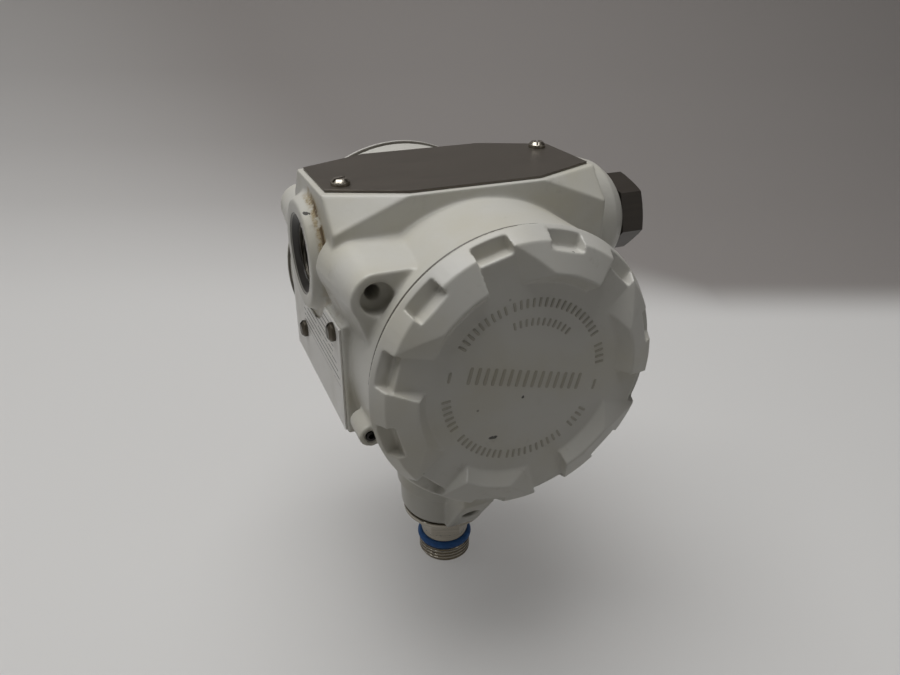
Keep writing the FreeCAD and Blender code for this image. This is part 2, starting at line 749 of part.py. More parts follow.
# ---------------------------------------------------------------- fasteners
def pan_screw(name, head_r, head_len, shank_r, shank_len):
    """Slotted pan-head screw, its head standing on z = 0 and its shank pointing down."""
    head = solid("Cylinder", name + "_head", Radius=head_r, Height=head_len)
    edge = doc.addObject("Part::Chamfer", name + "_edge")
    edge.Base = head
    doc.recompute()
    rim = next(index for index, line in enumerate(head.Shape.Edges, start=1)
               if abs(line.BoundBox.ZMin - head.Shape.BoundBox.ZMax) < 1e-6)
    size = value(f"{head_len} * screw_edge_share")
    edge.Edges = [(rim, size, size)]
    shank = solid("Cylinder", name + "_shank", Radius=shank_r, Height=f"{shank_len} + {head_len} / 2")
    place(shank, z=f"-({shank_len})")
    blank = joined(name + "_blank", [edge, shank])
    slot = solid("Box", name + "_slot", Length=f"4 * {head_r}", Width="screw_slot", Height=head_len)
    place(slot, x=f"-2 * {head_r}", y="-screw_slot / 2", z=f"{head_len} * (1 - screw_slot_share)")
    return minus(name, blank, slot)


def set_screw(name, radius, length, tip_r, tip_len, socket):
    """Hexagon-socket set screw, its socket at z = 0 and its dog point downwards."""
    shank = solid("Cylinder", name + "_shank", Radius=radius, Height=length)
    place(shank, z=f"-({length})")
    tip = solid("Cylinder", name + "_tip", Radius=tip_r, Height=f"{tip_len} + 1")
    place(tip, z=f"-({length}) - ({tip_len})")
    drive = solid("Prism", name + "_drive", Circumradius=f"{socket} / 2 / cos(30)", Height=length)
    drive.Polygon = 6
    place(drive, z=f"-({socket})")
    return minus(name, joined(name + "_blank", [shank, tip]), drive)


def fasteners():
    """Plate screws, the neck's set screw and the cover's lock screw."""
    size = ("screw_head_r", "screw_head_len", "screw_r", "screw_len")
    deck_screws = []
    for side in ("-", ""):
        screw = pan_screw(f"deck_screw_{len(deck_screws)}", *size)
        tilt = Rotation(Vector(0, 0, 1), 25 + 40 * len(deck_screws))
        place(screw, f"{side}plate_screw_x", f"deck_y + ({side}plate_screw_y)",
              f"{DECK_Z} + plate_thick", tilt)
        deck_screws.append(screw)
    group("name_plate_screws", deck_screws)
    flank_screws = []
    for y, z in SIDE_SCREWS:
        screw = pan_screw(f"flank_screw_{len(flank_screws)}", *size)
        place(screw, f"-{PAD_X} - side_plate_thick", y, f"barrel_z + ({z})", TO_LEFT)
        flank_screws.append(screw)
    group("side_plate_screws", flank_screws)
    grub = set_screw("neck_grub", "set_screw_r", "set_screw_len", "set_screw_tip_r",
                     "set_screw_tip_len", "set_screw_socket")
    place(grub, y=f"-{SET_SCREW_Y}", z="set_screw_z", turn=TO_FRONT)
    keep(grub, "neck_set_screw")
    jam = set_screw("cover_jam", "lock_screw_r", "lock_screw_len", "lock_screw_r * 0.6", "0.5",
                    "lock_screw_r")
    place(jam, f"-{LOCK_X}", LOCK_FACE_Y, "barrel_z - lock_drop", TO_FRONT)
    keep(jam, "cover_lock_screw")


def conduit_plug():
    """Hexagon blanking plug screwed into the right conduit entry."""
    body = new_body("conduit_plug")
    seat = f"({RIGHT_END} + cover_seam)"
    shank = new_sketch(body, "XZ_Plane", up=CONDUIT_Z)
    shank_r = "(conduit_bore_r - plug_gap)"
    head_foot = f"({seat} + plug_face_len)"
    head_end = f"({head_foot} + plug_hex_len)"
    add_polygon(shank, [
        (f"{seat} - plug_shank_len", "0"),
        (f"{seat} - plug_shank_len", f"{shank_r} - 1"),
        (f"{seat} - plug_shank_len + 1", shank_r),
        (seat, shank_r),
        (seat, "plug_face_r"),
        (f"{head_foot} + 1", "plug_face_r"),
        (f"{head_foot} + 1", "0"),
    ])
    spin(body, "Revolution", shank, "H_Axis")
    head = new_sketch(body, "YZ_Plane", up=CONDUIT_Z, ahead=head_foot)
    corner = "(plug_hex_flats / 2 / cos(30))"
    add_polygon(head, [
        (f"{corner} * cos(plug_turn + {60 * step})", f"{corner} * sin(plug_turn + {60 * step})")
        for step in range(6)
    ])
    feature(body, "Pad", head, Length="plug_hex_len")
    bevel = new_sketch(body, "XZ_Plane", up=CONDUIT_Z, side=head_end)
    add_polygon(bevel, [
        ("0", "plug_hex_flats / 2 - plug_chamfer / 2"),
        ("plug_chamfer", "plug_hex_flats / 2 - plug_chamfer / 2"),
        ("plug_chamfer", "plug_hex_flats"),
        ("-plug_chamfer", "plug_hex_flats"),
        ("-plug_chamfer", "plug_hex_flats / 2 + plug_chamfer * 3"),
    ])
    spin(body, "Groove", bevel, "H_Axis")


# ---------------------------------------------------------------- covers
def cover(label, y, turn):
    """Screw cover: threaded skirt, conical rim, six raised lugs round a flat disc, twelve notches.

    Each recess between two lugs is a flat-floored channel with one steep side and one long slope.
    """
    body = new_body(label)
    skirt_r = f"({COVER_BORE_R} - skirt_gap)"
    groove_half = "(cover_ring_thick / 2 + cover_ring_gap)"
    groove_r = f"({COVER_BORE_R} - 2 * cover_ring_gap - cover_ring_thick)"
    outline = new_sketch(body, "XZ_Plane")
    add_polygon(outline, [
        ("0", "cover_disc_len - cover_wall"),
        (f"{skirt_r} - skirt_wall", "cover_disc_len - cover_wall"),
        (f"{skirt_r} - skirt_wall", "-skirt_len"),
        (f"{skirt_r} - cover_edge", "-skirt_len"),
        (skirt_r, "-skirt_len + cover_edge"),
        (skirt_r, f"-cover_ring_depth - {groove_half}"),
        (groove_r, f"-cover_ring_depth - {groove_half}"),
        (groove_r, f"-cover_ring_depth + {groove_half}"),
        (skirt_r, f"-cover_ring_depth + {groove_half}"),
        (skirt_r, "0"),
        (f"{COVER_R} - cover_edge", "0"),
        (COVER_R, "cover_edge"),
        (COVER_R, "cover_rim_len"),
        (f"{COVER_R} - rim_front_inset", "rim_front_len"),
        (f"{RIDGE_R} + ridge_flat", "ridge_len"),
        (RIDGE_R, "ridge_len"),
        (f"{RIDGE_R} - ridge_slope_wide", "cover_disc_len"),
        ("0", "cover_disc_len"),
    ])
    spin(body, "Revolution", outline, "V_Axis")
    recess_top = "(ridge_len + recess_over)"
    recess = new_sketch(body, "YZ_Plane", ahead="recess_inner_r")
    add_polygon(recess, [
        ("-recess_half", "cover_disc_len"),
        ("recess_half", "cover_disc_len"),
        ("recess_half + recess_lean", recess_top),
        (f"-recess_half - ({recess_top} - cover_disc_len) / tan(recess_slope)", recess_top),
    ])
    dip = feature(body, "Pocket", recess, Length=COVER_R, Reversed=True)
    pattern(body, dip, "Z_Axis", "recess_count")
    notch = new_sketch(body, "XY_Plane", ahead="ridge_len")
    add_polygon(notch, [
        (f"{COVER_R} - notch_depth", "-notch_half"),
        (f"{COVER_R} + notch_depth", "-notch_half"),
        (f"{COVER_R} + notch_depth", "notch_half"),
        (f"{COVER_R} - notch_depth", "notch_half"),
    ])
    bite = feature(body, "Pocket", notch, Length="ridge_len - notch_ledge")
    pattern(body, bite, "Z_Axis", "notch_count")
    place(body, y=y, z="barrel_z", turn=turn * Rotation(Vector(0, 0, 1), value("cover_turn")))

    seal = solid("Torus", label + "_o_ring_torus", Radius2="cover_ring_thick / 2",
                 Radius1=f"{COVER_BORE_R} - cover_ring_gap - cover_ring_thick / 2")
    depth = "+ cover_ring_depth" if turn is TO_FRONT else "- cover_ring_depth"
    place(seal, y=f"{y} {depth}", z="barrel_z", turn=turn)
    keep(seal, label + "_o_ring")


# ---------------------------------------------------------------- electronics
BOARD_Y = "(wall_front_y - board_spacer_len)"
BOARD_FACE_Y = f"({BOARD_Y} - board_thick)"


def electronics():
    """Round board on three spacers in the front compartment, with its components and screws."""
    board = new_body("electronics_board")
    angles = (90, 210, 330)
    spots = [(f"board_screw_ring_r * cos({a})", f"board_screw_ring_r * sin({a})") for a in angles]
    disc = new_sketch(board, "XZ_Plane", up="barrel_z", ahead=f"-{BOARD_Y}")
    add_circle(disc, "board_r")
    for x, up in spots:
        add_circle(disc, "board_screw_r + 2 * screw_gap", x=x, y=up)
    feature(board, "Pad", disc, Length="board_thick")

    spacers, screws = [], []
    for number, (x, up) in enumerate(spots):
        z = f"barrel_z + {up}"
        post = solid("Cylinder", f"spacer_post_{number}", Radius="board_spacer_r", Height="board_spacer_len")
        place(post, x, BOARD_Y, z, TO_REAR)
        bore = solid("Cylinder", f"spacer_bore_{number}", Radius="board_screw_r + screw_gap",
                     Height="board_screw_grip + 2")
        place(bore, x, f"{BOARD_Y} - 1", z, TO_REAR)
        spacers.append(minus(f"spacer_{number}", post, bore))
        screw = pan_screw(f"board_screw_{number}", "board_screw_head_r", "board_screw_head_len",
                          "board_screw_r", "board_thick + board_screw_grip")
        place(screw, x, BOARD_FACE_Y, z, TO_FRONT)
        screws.append(screw)
    group("board_spacers", spacers)
    group("board_screws", screws)

    chip = solid("Box", "chip", Length="chip_size", Width="chip_size", Height="chip_thick")
    place(chip, "-chip_size / 2", BOARD_FACE_Y, "barrel_z - chip_size / 2", TO_FRONT)
    can = solid("Cylinder", "can", Radius="can_r", Height="can_len")
    place(can, "chip_size / 2 + can_r", BOARD_FACE_Y, "barrel_z - chip_size", TO_FRONT)
    socket = solid("Box", "socket", Length="socket_wide", Width="socket_deep", Height="socket_thick")
    place(socket, "-socket_wide / 2", BOARD_FACE_Y, "barrel_z + chip_size", TO_FRONT)
    group("board_components", [chip, can, socket])


# ---------------------------------------------------------------- terminals
def terminals():
    """Terminal block on the rear side of the partition, its screws, clamps and earth point."""
    block = new_body("terminal_block")
    base_z = "(barrel_z - terminal_drop)"
    outline = new_sketch(block, "XZ_Plane", up=base_z, ahead=f"-{WALL_REAR_Y} - terminal_ear_thick")
    half = "(terminal_wide / 2 + terminal_ear)"
    add_polygon(outline, [
        (f"-{half}", "-terminal_deep / 4"),
        (half, "-terminal_deep / 4"),
        (half, "terminal_deep / 4"),
        (f"-{half}", "terminal_deep / 4"),
    ])
    for side in ("-", ""):
        add_circle(outline, "screw_r + screw_gap", x=f"{side}(terminal_wide / 2 + terminal_ear / 2)")
    feature(block, "Pad", outline, Length="terminal_ear_thick")
    core = new_sketch(block, "XZ_Plane", up=base_z, ahead=f"-{WALL_REAR_Y} - terminal_thick")
    add_polygon(core, [
        ("-terminal_wide / 2", "-terminal_deep / 2"),
        ("terminal_wide / 2", "-terminal_deep / 2"),
        ("terminal_wide / 2", "terminal_deep / 2"),
        ("-terminal_wide / 2", "terminal_deep / 2"),
    ])
    feature(block, "Pad", core, Length="terminal_thick")
    offsets = ("-terminal_pitch", "0", "terminal_pitch")
    for x in offsets:
        slot = new_sketch(block, "XZ_Plane", up=base_z, ahead=f"-{WALL_REAR_Y} - terminal_thick")
        add_polygon(slot, [
            (f"{x} - terminal_slot / 2", "-terminal_deep"),
            (f"{x} + terminal_slot / 2", "-terminal_deep"),
            (f"{x} + terminal_slot / 2", "terminal_deep / 4"),
            (f"{x} - terminal_slot / 2", "terminal_deep / 4"),
        ])
        feature(block, "Pocket", slot, Length="terminal_slot_depth", Reversed=True)
        hole = new_sketch(block, "XZ_Plane", up=base_z, ahead=f"-{WALL_REAR_Y} - terminal_thick")
        add_circle(hole, "terminal_screw_r + screw_gap", x=x, y="-terminal_deep / 8")
        feature(block, "Pocket", hole, Length="terminal_slot_depth + terminal_screw_len", Reversed=True)

    floor_y = f"({WALL_REAR_Y} + terminal_thick - terminal_slot_depth)"
    clamps, screws = [], []
    for number, x in enumerate(offsets):
        plate = solid("Box", f"clamp_plate_{number}", Length="clamp_size", Width="clamp_size", Height="clamp_thick")
        place(plate, f"{x} - clamp_size / 2", floor_y, f"{base_z} - terminal_deep / 8 + clamp_size / 2", TO_REAR)
        bore = solid("Cylinder", f"clamp_bore_{number}", Radius="terminal_screw_r + screw_gap", Height="clamp_thick * 3")
        place(bore, x, f"{floor_y} - clamp_thick", f"{base_z} - terminal_deep / 8", TO_REAR)
        clamps.append(minus(f"clamp_{number}", plate, bore))
        screw = pan_screw(f"terminal_screw_{number}", "terminal_head_r", "terminal_head_len",
                          "terminal_screw_r", "terminal_screw_len")
        place(screw, x, f"{floor_y} + clamp_thick", f"{base_z} - terminal_deep / 8", TO_REAR)
        screws.append(screw)
    group("terminal_clamps", clamps)
    group("terminal_screws", screws)

    fixings = []
    for side in ("-", ""):
        screw = pan_screw(f"block_screw_{len(fixings)}", "screw_head_r", "screw_head_len", "screw_r",
                          "terminal_ear_thick - 0.1")
        place(screw, f"{side}(terminal_wide / 2 + terminal_ear / 2)", f"{WALL_REAR_Y} + terminal_ear_thick",
              base_z, TO_REAR)
        fixings.append(screw)
    group("terminal_block_screws", fixings)

    earth_z = "barrel_z + ground_rise"
    post = solid("Cylinder", "earth_base", Radius="ground_post_r", Height="ground_post_len")
    place(post, "ground_x", WALL_REAR_Y, earth_z, TO_REAR)
    hole = solid("Cylinder", "earth_bore", Radius="terminal_screw_r + screw_gap", Height="ground_post_len")
    place(hole, "ground_x", f"{WALL_REAR_Y} + 0.5", earth_z, TO_REAR)
    keep(minus("earth_stud", post, hole), "earth_post")
    screw = pan_screw("earth_screw_solid", "terminal_head_r", "terminal_head_len", "terminal_screw_r",
                      "terminal_screw_len")
    place(screw, "ground_x", f"{WALL_REAR_Y} + ground_post_len", earth_z, TO_REAR)
    keep(screw, "earth_screw")


def feedthrough():
    """Sealed bush through the partition that carries the wires' pins."""
    body = new_body("feedthrough")
    outline = new_sketch(body, "YZ_Plane", up="barrel_z + feed_rise")
    add_polygon(outline, [
        ("wall_front_y - 0.5", "0"),
        ("wall_front_y - 0.5", "feed_r"),
        (WALL_REAR_Y, "feed_r"),
        (WALL_REAR_Y, "feed_flange_r"),
        (f"{WALL_REAR_Y} + feed_flange_thick", "feed_flange_r"),
        (f"{WALL_REAR_Y} + feed_flange_thick", "0"),
    ])
    spin(body, "Revolution", outline, "H_Axis")
    for step in range(3):
        angle = 90 + 120 * step
        pin = new_sketch(body, "XZ_Plane", up="barrel_z + feed_rise", ahead=f"-{WALL_REAR_Y} - feed_pin_len")
        add_circle(pin, "feed_pin_r", x=f"feed_pin_ring_r * cos({angle})", y=f"feed_pin_ring_r * sin({angle})")
        feature(body, "Pad", pin, Length="feed_pin_len + feed_r")


# ---------------------------------------------------------------- build, check, write
process_connector()
ring("process_o_ring", "o_ring_outer_r - o_ring_thick / 2", "o_ring_thick",
     f"{RING_FOOT} + o_ring_gap + o_ring_thick / 2")
ring("neck_seal_ring", "spigot_r - seal_ring_thick / 2 - o_ring_gap", "seal_ring_thick - 2 * o_ring_gap", SEAL_Z)
sensing_element()
housing_casting()
name_plate()
side_plate()
fasteners()
conduit_plug()
cover("front_cover", "-barrel_front - cover_seam", TO_FRONT)
cover("rear_cover", "barrel_rear + cover_seam", TO_REAR)
electronics()
terminals()
feedthrough()
doc.recompute()

for item in doc.Objects:
    if {"Invalid", "Error"} & set(item.State):
        raise RuntimeError(f"{item.Label} ({item.Name}) failed: {item.State}")
os.makedirs("parts", exist_ok=True)
for item in SUB_PARTS:
    if item.Shape.isNull() or not item.Shape.isValid():
        raise RuntimeError(f"{item.Label} has no valid shape")
    item.Shape.exportStep(os.path.join("parts", item.Label + ".step"))
    print(f"{item.Label}: {len(item.Shape.Solids)} solid(s), {item.Shape.Volume / 1000:.2f} cm3")
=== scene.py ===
"""Looks of the dual-compartment pressure transmitter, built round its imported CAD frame.

Metres throughout, unless a name ends in _MM. +Z is up along the neck, the front cover faces -Y and
the open conduit entry faces -X. The CAD nodes give every place; the pieces added here are surfaces
worked out with numpy.
"""
import json
import math

import bmesh
import bpy
import numpy as np
from mathutils import Matrix, Vector


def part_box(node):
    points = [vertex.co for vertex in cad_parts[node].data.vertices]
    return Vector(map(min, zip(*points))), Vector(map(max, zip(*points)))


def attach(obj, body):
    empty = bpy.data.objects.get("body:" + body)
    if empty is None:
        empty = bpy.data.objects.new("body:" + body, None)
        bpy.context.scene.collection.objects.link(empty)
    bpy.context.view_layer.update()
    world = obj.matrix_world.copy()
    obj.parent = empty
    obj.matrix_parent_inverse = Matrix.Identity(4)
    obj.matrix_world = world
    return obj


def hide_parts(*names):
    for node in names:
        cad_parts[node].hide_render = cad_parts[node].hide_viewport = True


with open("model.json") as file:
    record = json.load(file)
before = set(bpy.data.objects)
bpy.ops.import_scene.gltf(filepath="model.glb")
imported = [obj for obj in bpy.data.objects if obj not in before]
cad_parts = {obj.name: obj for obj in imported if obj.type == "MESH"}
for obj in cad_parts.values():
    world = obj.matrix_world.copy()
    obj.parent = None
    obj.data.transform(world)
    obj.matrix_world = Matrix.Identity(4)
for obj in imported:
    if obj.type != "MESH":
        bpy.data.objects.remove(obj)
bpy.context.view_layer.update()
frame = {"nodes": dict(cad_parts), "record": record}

MM = 0.001
TURN = 2.0 * math.pi

# ---------------------------------------------------------------- places taken from the frame
RECORD = frame["record"]
MOUNTS = {mount["name"]: mount for mount in RECORD["mounts"]}
JOINTS = {joint["name"]: joint for joint in RECORD["behaviour"]["joints"]}
SLOT_OF = {part["node"]: part["material_slot"] for part in RECORD["subparts"]}
BODY_OF = {node: body for body, nodes in RECORD["behaviour"]["bodies"].items() for node in nodes}
BARREL_Z = JOINTS["front_cover_turn"]["pos_m"][2]
CONDUIT_Z = MOUNTS["conduit_entry"]["pos_m"][2]
CONDUIT_R = MOUNTS["conduit_entry"]["dims"]["r_mm"] * MM
MOUTH_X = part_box("housing_casting")[0][0]
FRONT_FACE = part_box("front_cover")[0][1]
REAR_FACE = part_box("rear_cover")[1][1]
PLATE_LOW, PLATE_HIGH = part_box("side_plate")

# ---------------------------------------------------------------- sizes
# Covers: the disc lies behind the outer face, the rim ends on the barrel at the seat, and the
# skirt's thread runs between two depths behind the outer face.
DISC_SINK = 3.8 * MM
RIM_LEN = 10.0 * MM
DISC_Y = FRONT_FACE + DISC_SINK
REAR_DISC_Y = REAR_FACE - DISC_SINK
FRONT_SEAT = FRONT_FACE + RIM_LEN
REAR_SEAT = REAR_FACE - RIM_LEN
SKIRT_R = 38.8 * MM
SKIRT_CREST_R = 39.22 * MM
SKIRT_PITCH = 2.0 * MM
SKIRT_THREAD_FROM = 12.6 * MM
SKIRT_THREAD_TO = 22.6 * MM
# Barrel beside the seats: its skin, and how far the painted seam shade reaches from the seat.
BARREL_SKIN_R = 42.7 * MM
SEAM_REACH = 1.35 * MM
SEAM_SOFT = 0.3 * MM
# Open conduit entry: its chamfered mouth, the scuffs round it, its thread and its collar's foot.
CONDUIT_MOUTH_R = CONDUIT_R + 2.4 * MM
SCUFF_R = 13.5 * MM
CONDUIT_WALL_R = CONDUIT_R - 0.05 * MM
CONDUIT_CREST_R = CONDUIT_R - 1.2 * MM
CONDUIT_PITCH = 1.81 * MM
CONDUIT_THREAD_FROM = MOUTH_X + 2.5 * MM
CONDUIT_THREAD_TO = MOUTH_X + 12.4 * MM
COLLAR_FOOT_R = 19.0 * MM
COLLAR_X = MOUTH_X + 5.0 * MM
# Neck: its lower end, and the hole of its set screw.
NECK_FOOT_MM = 24.2
SCREW_Z_MM = 35.5
SCREW_HOLE_R = 2.1 * MM
# Process connector, from its lower face up.
PORT_R_MM = 4.0
PORT_TOP_MM = 21.5
THREAD_R_MM = 10.0
THREAD_DEPTH_MM = 0.85
THREAD_PITCH_MM = 1.5
THREAD_FADE_MM = 0.2
THREAD_FROM_MM = 0.9
THREAD_TO_MM = 6.6
GROOVE_R_MM = 7.6
GROOVE_TOP_MM = 9.7
WAIST_R_MM = 9.2
HEX_HALF_MM = 9.3
HEX_FOOT_MM = 12.7
HEX_TOP_MM = 19.3
HEX_ROWS = 24
HEX_CONE_SLOPE = 1.7
HEX_CONE_LIFT_MM = 0.4
HEX_TURN = math.radians(40.0)
CONE_R_MM = 11.0
FLANGE_R_MM = 15.9
FLANGE_FOOT_MM = NECK_FOOT_MM - 1.95
FLANGE_TOP_MM = NECK_FOOT_MM - 0.35
EDGE_MM = 0.2
SPIGOT_R_MM = 12.0
SPIGOT_TOP_MM = 46.85
SPIGOT_EDGE_MM = 0.9
SCREW_GROOVE_R_MM = 11.0
SCREW_GROOVE_HALF_MM = 2.0
SEAL_MM = 42.35
SEAL_GROOVE_R_MM = 9.8
SEAL_GROOVE_HALF_MM = 1.4
CAPSULE_R_MM = 9.0
# Raised dashes on the covers' discs: turn in degrees, groups of the outer ring in degrees, rings
# and steps, and each kind's length and width in millimetres.
MARK_TURN = -15.0
RING_GROUPS = [(18, 36), (42, 116), (122, 160), (198, 224), (231, 268), (274, 318), (326, 344)]
RING_STEP = 4.6
RING_R_MM = 23.6
RING_DASH_MM = (2.7, 0.75)
ARC_FROM = 62.0
ARC_TO = 120.0
ARC_STEP = 5.6
ARC_R_MM = 18.0
ARC_DASH_MM = (2.3, 0.7)
ROW_EACH_SIDE = 7
ROW_STEP_MM = 2.5
ROW_RISE_MM = 0.8
ROW_DASH_MM = (5.2, 1.0)
END_AT_MM = 23.4
END_DASH_MM = (3.2, 0.75)
# A dash's loops from foot to top: share of its size, and height over the disc in millimetres.
DASH_LOOPS = [(1.0, -0.4), (1.0, 0.12), (0.72, 0.24), (0.02, 0.27)]
DASH_POINTS = 16
DASH_POWER = 0.35
# Meshes: points round a turned surface, rows for one turn of a thread, the most triangles of a
# casting, and the angles between faces over which an edge is bevelled or shaded sharp.
COLUMNS = 360
NOSE_ROWS_A_TURN = 20
SLEEVE_ROWS_A_TURN = 14
MOST_TRIANGLES = 192000
BEVEL_OVER = math.radians(35.0)
EASED_SHARP_OVER = math.radians(32.0)
NOSE_SHARP_OVER = math.radians(38.0)
SLEEVE_SHARP_OVER = math.radians(50.0)


# ---------------------------------------------------------------- shader expressions
class Value:
    """One output of a shader node in Python arithmetic: each operator adds its Math node."""

    def __init__(self, nodes, socket):
        self.nodes = nodes
        self.socket = socket

    def maths(self, operation, *others):
        """A Math node on this value and the others, in order."""
        inputs = dict(enumerate((self,) + others))
        return self.nodes.add("ShaderNodeMath", {"operation": operation}, inputs)

    def __add__(self, other):
        return self.maths("ADD", other)

    __radd__ = __add__

    def __mul__(self, other):
        return self.maths("MULTIPLY", other)

    __rmul__ = __mul__

    def __sub__(self, other):
        return self.maths("SUBTRACT", other)

    def __rsub__(self, other):
        return self.nodes.add("ShaderNodeMath", {"operation": "SUBTRACT"}, {0: other, 1: self})

    def __truediv__(self, other):
        return self.maths("DIVIDE", other)

    def __abs__(self):
        return self.maths("ABSOLUTE")

    def part(self):
        """What is left of this value past the whole number below it."""
        return self.maths("FRACT")

    def rise(self, low, high):
        """0 below low, 1 above high and a smooth step between; low above high turns it round."""
        return self.nodes.add("ShaderNodeMapRange", {"interpolation_type": "SMOOTHSTEP"},
                              {"Value": self, "From Min": low, "From Max": high})

    def band(self, centre, half, soft):
        """1 within half of a centre, falling to 0 over a soft edge."""
        return abs(self - centre).rise(half + soft, half)


class Nodes:
    """A shader tree, the one method that adds any node to it, and the patterns built on that."""

    def __init__(self, tree):
        self.tree = tree

    def add(self, kind, settings=None, inputs=None, output=0):
        """Adds a node of a type, with its settings first and then its sockets' values or links."""
        node = self.tree.nodes.new(kind)
        for name, setting in (settings or {}).items():
            setattr(node, name, setting)
        for name, item in (inputs or {}).items():
            if isinstance(item, Value):
                self.tree.links.new(item.socket, node.inputs[name])
            else:
                node.inputs[name].default_value = item
        return Value(self, node.outputs[output])

    def place(self):
        """Object coordinates, which are row-frame metres."""
        return self.add("ShaderNodeTexCoord", output="Object")

    def axis(self, letter):
        """One coordinate of the surface point."""
        return self.add("ShaderNodeSeparateXYZ", None, {0: self.place()}, letter)

    def from_axis(self, first, second, centre):
        """Distance from a line parallel to an axis: two coordinates and where the line meets them."""
        across = self.axis(first) - centre[0]
        up = self.axis(second) - centre[1]
        return (across * across + up * up).maths("SQRT")

    def from_conduit(self):
        """Distance from the axis of the conduit entries."""
        return self.from_axis("Y", "Z", (0.0, CONDUIT_Z))

    def noise(self, scale, detail=3.0, rough=0.5, at=None):
        """Cloudy noise between about 0.25 and 0.75; scale is clouds a metre."""
        return self.add("ShaderNodeTexNoise", None, {
            "Vector": at or self.place(), "Scale": scale, "Detail": detail, "Roughness": rough})

    def cells(self, scale):
        """Distance to the nearest of scattered points, in cells."""
        return self.add("ShaderNodeTexVoronoi", None, {"Vector": self.place(), "Scale": scale})

    def stretched(self, x, y, z):
        """Object coordinates scaled per axis, for grain that runs one way."""
        return self.add("ShaderNodeMapping", None, {"Vector": self.place(), "Scale": (x, y, z)})

    def distance(self, point):
        """Distance from a point of the row frame."""
        return self.add("ShaderNodeVectorMath", {"operation": "DISTANCE"},
                        {0: self.place(), 1: point}, "Value")

    def blend(self, first, second, share):
        """A colour between two colours by a value."""
        return self.add("ShaderNodeMix", {"data_type": "RGBA"},
                        {"Factor": share, 6: first, 7: second}, 2)

    def bump(self, height, depth, strength=1.0):
        """A normal from a height value; depth is metres for a height of 1."""
        return self.add("ShaderNodeBump", None,
                        {"Height": height, "Distance": depth, "Strength": strength}, "Normal")


class Finish(Nodes):
    """A material on the Principled shader."""

    def __init__(self, name):
        self.material = bpy.data.materials.new(name)
        self.material.use_nodes = True
        super().__init__(self.material.node_tree)
        self.shader = self.tree.nodes["Principled BSDF"]

    def set(self, **inputs):
        """Sets or links the shader's sockets; underscores stand for spaces."""
        for name, item in inputs.items():
            socket = self.shader.inputs[name.replace("_", " ")]
            if isinstance(item, Value):
                self.tree.links.new(item.socket, socket)
            else:
                socket.default_value = item
        return self.material


def rgba(red, green, blue):
    """A linear colour from display values of 0 to 255."""
    def linear(level):
        share = level / 255.0
        return share / 12.92 if share <= 0.04045 else ((share + 0.055) / 1.055) ** 2.4
    return (linear(red), linear(green), linear(blue), 1.0)


def scaled(colour, share, lift=0.0):
    """A colour with its three channels multiplied, then lifted."""
    return tuple(channel * share + lift for channel in colour[:3]) + (1.0,)


# ---------------------------------------------------------------- colours
BLACK = rgba(0, 0, 0)
ENAMEL_WHITE = rgba(205, 203, 195)
COVER_WHITE = rgba(203, 201, 194)
MARK_GREY = rgba(170, 166, 155)
YELLOWING = (0.93, 0.90, 0.80, 1.0)
SMEAR = rgba(140, 134, 120)
SPECK = rgba(82, 74, 62)
CHIPPED = rgba(34, 30, 26)
# Painted shade inside the open conduit mouth, and a painted highlight ring on its chamfer.
BORE_PAINTED_SHADE = rgba(34, 30, 25)
CHAMFER_PAINTED_HIGHLIGHT = rgba(140, 137, 130)
SCUFF = rgba(52, 48, 42)
RUST_STAIN = rgba(168, 147, 98)
RUST_CRUST = rgba(112, 80, 34)
RUST_LINE = rgba(84, 60, 26)
CREASE_DIRT = rgba(126, 112, 80)
SKIRT_METAL = rgba(158, 156, 150)
# Painted shade of the seams where the covers meet the barrel.
SEAT_PAINTED_SHADE = rgba(88, 82, 72)
SEAM_PAINTED_SHADE = rgba(70, 64, 55)
# Painted shade in the neck's set screw hole.
SCREW_HOLE_PAINTED_SHADE = rgba(38, 35, 31)
LABEL_PAPER = rgba(238, 236, 231)
LABEL_SHADE = rgba(224, 221, 214)
LABEL_INK = rgba(72, 66, 62)


# ---------------------------------------------------------------- marks on the enamel
# A mark takes the enamel and the colour under it, and gives the new colour and a height.
def chip(point, long, wide=None):
    """A mark that shows dark metal where the paint is knocked off: the distance from a point, in
    lengths along X and Y and in widths along Z, made ragged with noise, is under about 1."""
    wide = wide or long

    def mark(coat, under):
        across = (coat.axis("X") - point[0]) * (1.0 / long)
        ahead = (coat.axis("Y") - point[1]) * (1.0 / long)
        up = (coat.axis("Z") - point[2]) * (1.0 / wide)
        ragged = (across * across + ahead * ahead + up * up).maths("SQRT")
        share = (ragged + (coat.noise(1600.0, 3.0) - 0.5) * 1.2).rise(1.0, 0.7)
        return coat.blend(under, CHIPPED, share * 0.9), share * -1.0
    return mark


def mouth_shade_and_highlight(coat, under):
    """Painted shade inside the open conduit's machined mouth, and one painted highlight ring on its
    chamfer.
    """
    radius = coat.from_conduit()
    inside = radius.rise(CONDUIT_MOUTH_R, CONDUIT_MOUTH_R - 0.2 * MM)
    left = coat.axis("X").rise(0.0, -1.0 * MM)
    chamfer_highlight = radius.band(CONDUIT_MOUTH_R - 0.45 * MM, 0.12 * MM, 0.15 * MM)
    return coat.blend(under, coat.blend(BORE_PAINTED_SHADE, CHAMFER_PAINTED_HIGHLIGHT, chamfer_highlight), inside * left), 0.0


def mouth_scuffs(coat, under):
    """Black scuffs on the end of the open conduit's collar, over its upper front."""
    end = coat.axis("X").rise(MOUTH_X + 2.2 * MM, MOUTH_X + 1.2 * MM)
    ring = coat.from_conduit().band(SCUFF_R, 0.8 * MM, 0.6 * MM)
    front = coat.axis("Y").rise(-3.0 * MM, -6.0 * MM)
    high = coat.axis("Z").band(CONDUIT_Z + 8.0 * MM, 3.5 * MM, 2.0 * MM)
    share = end * ring * front * high * coat.noise(900.0, 4.0, 0.7).rise(0.47, 0.56)
    return coat.blend(under, SCUFF, share * 0.9), share * -0.5


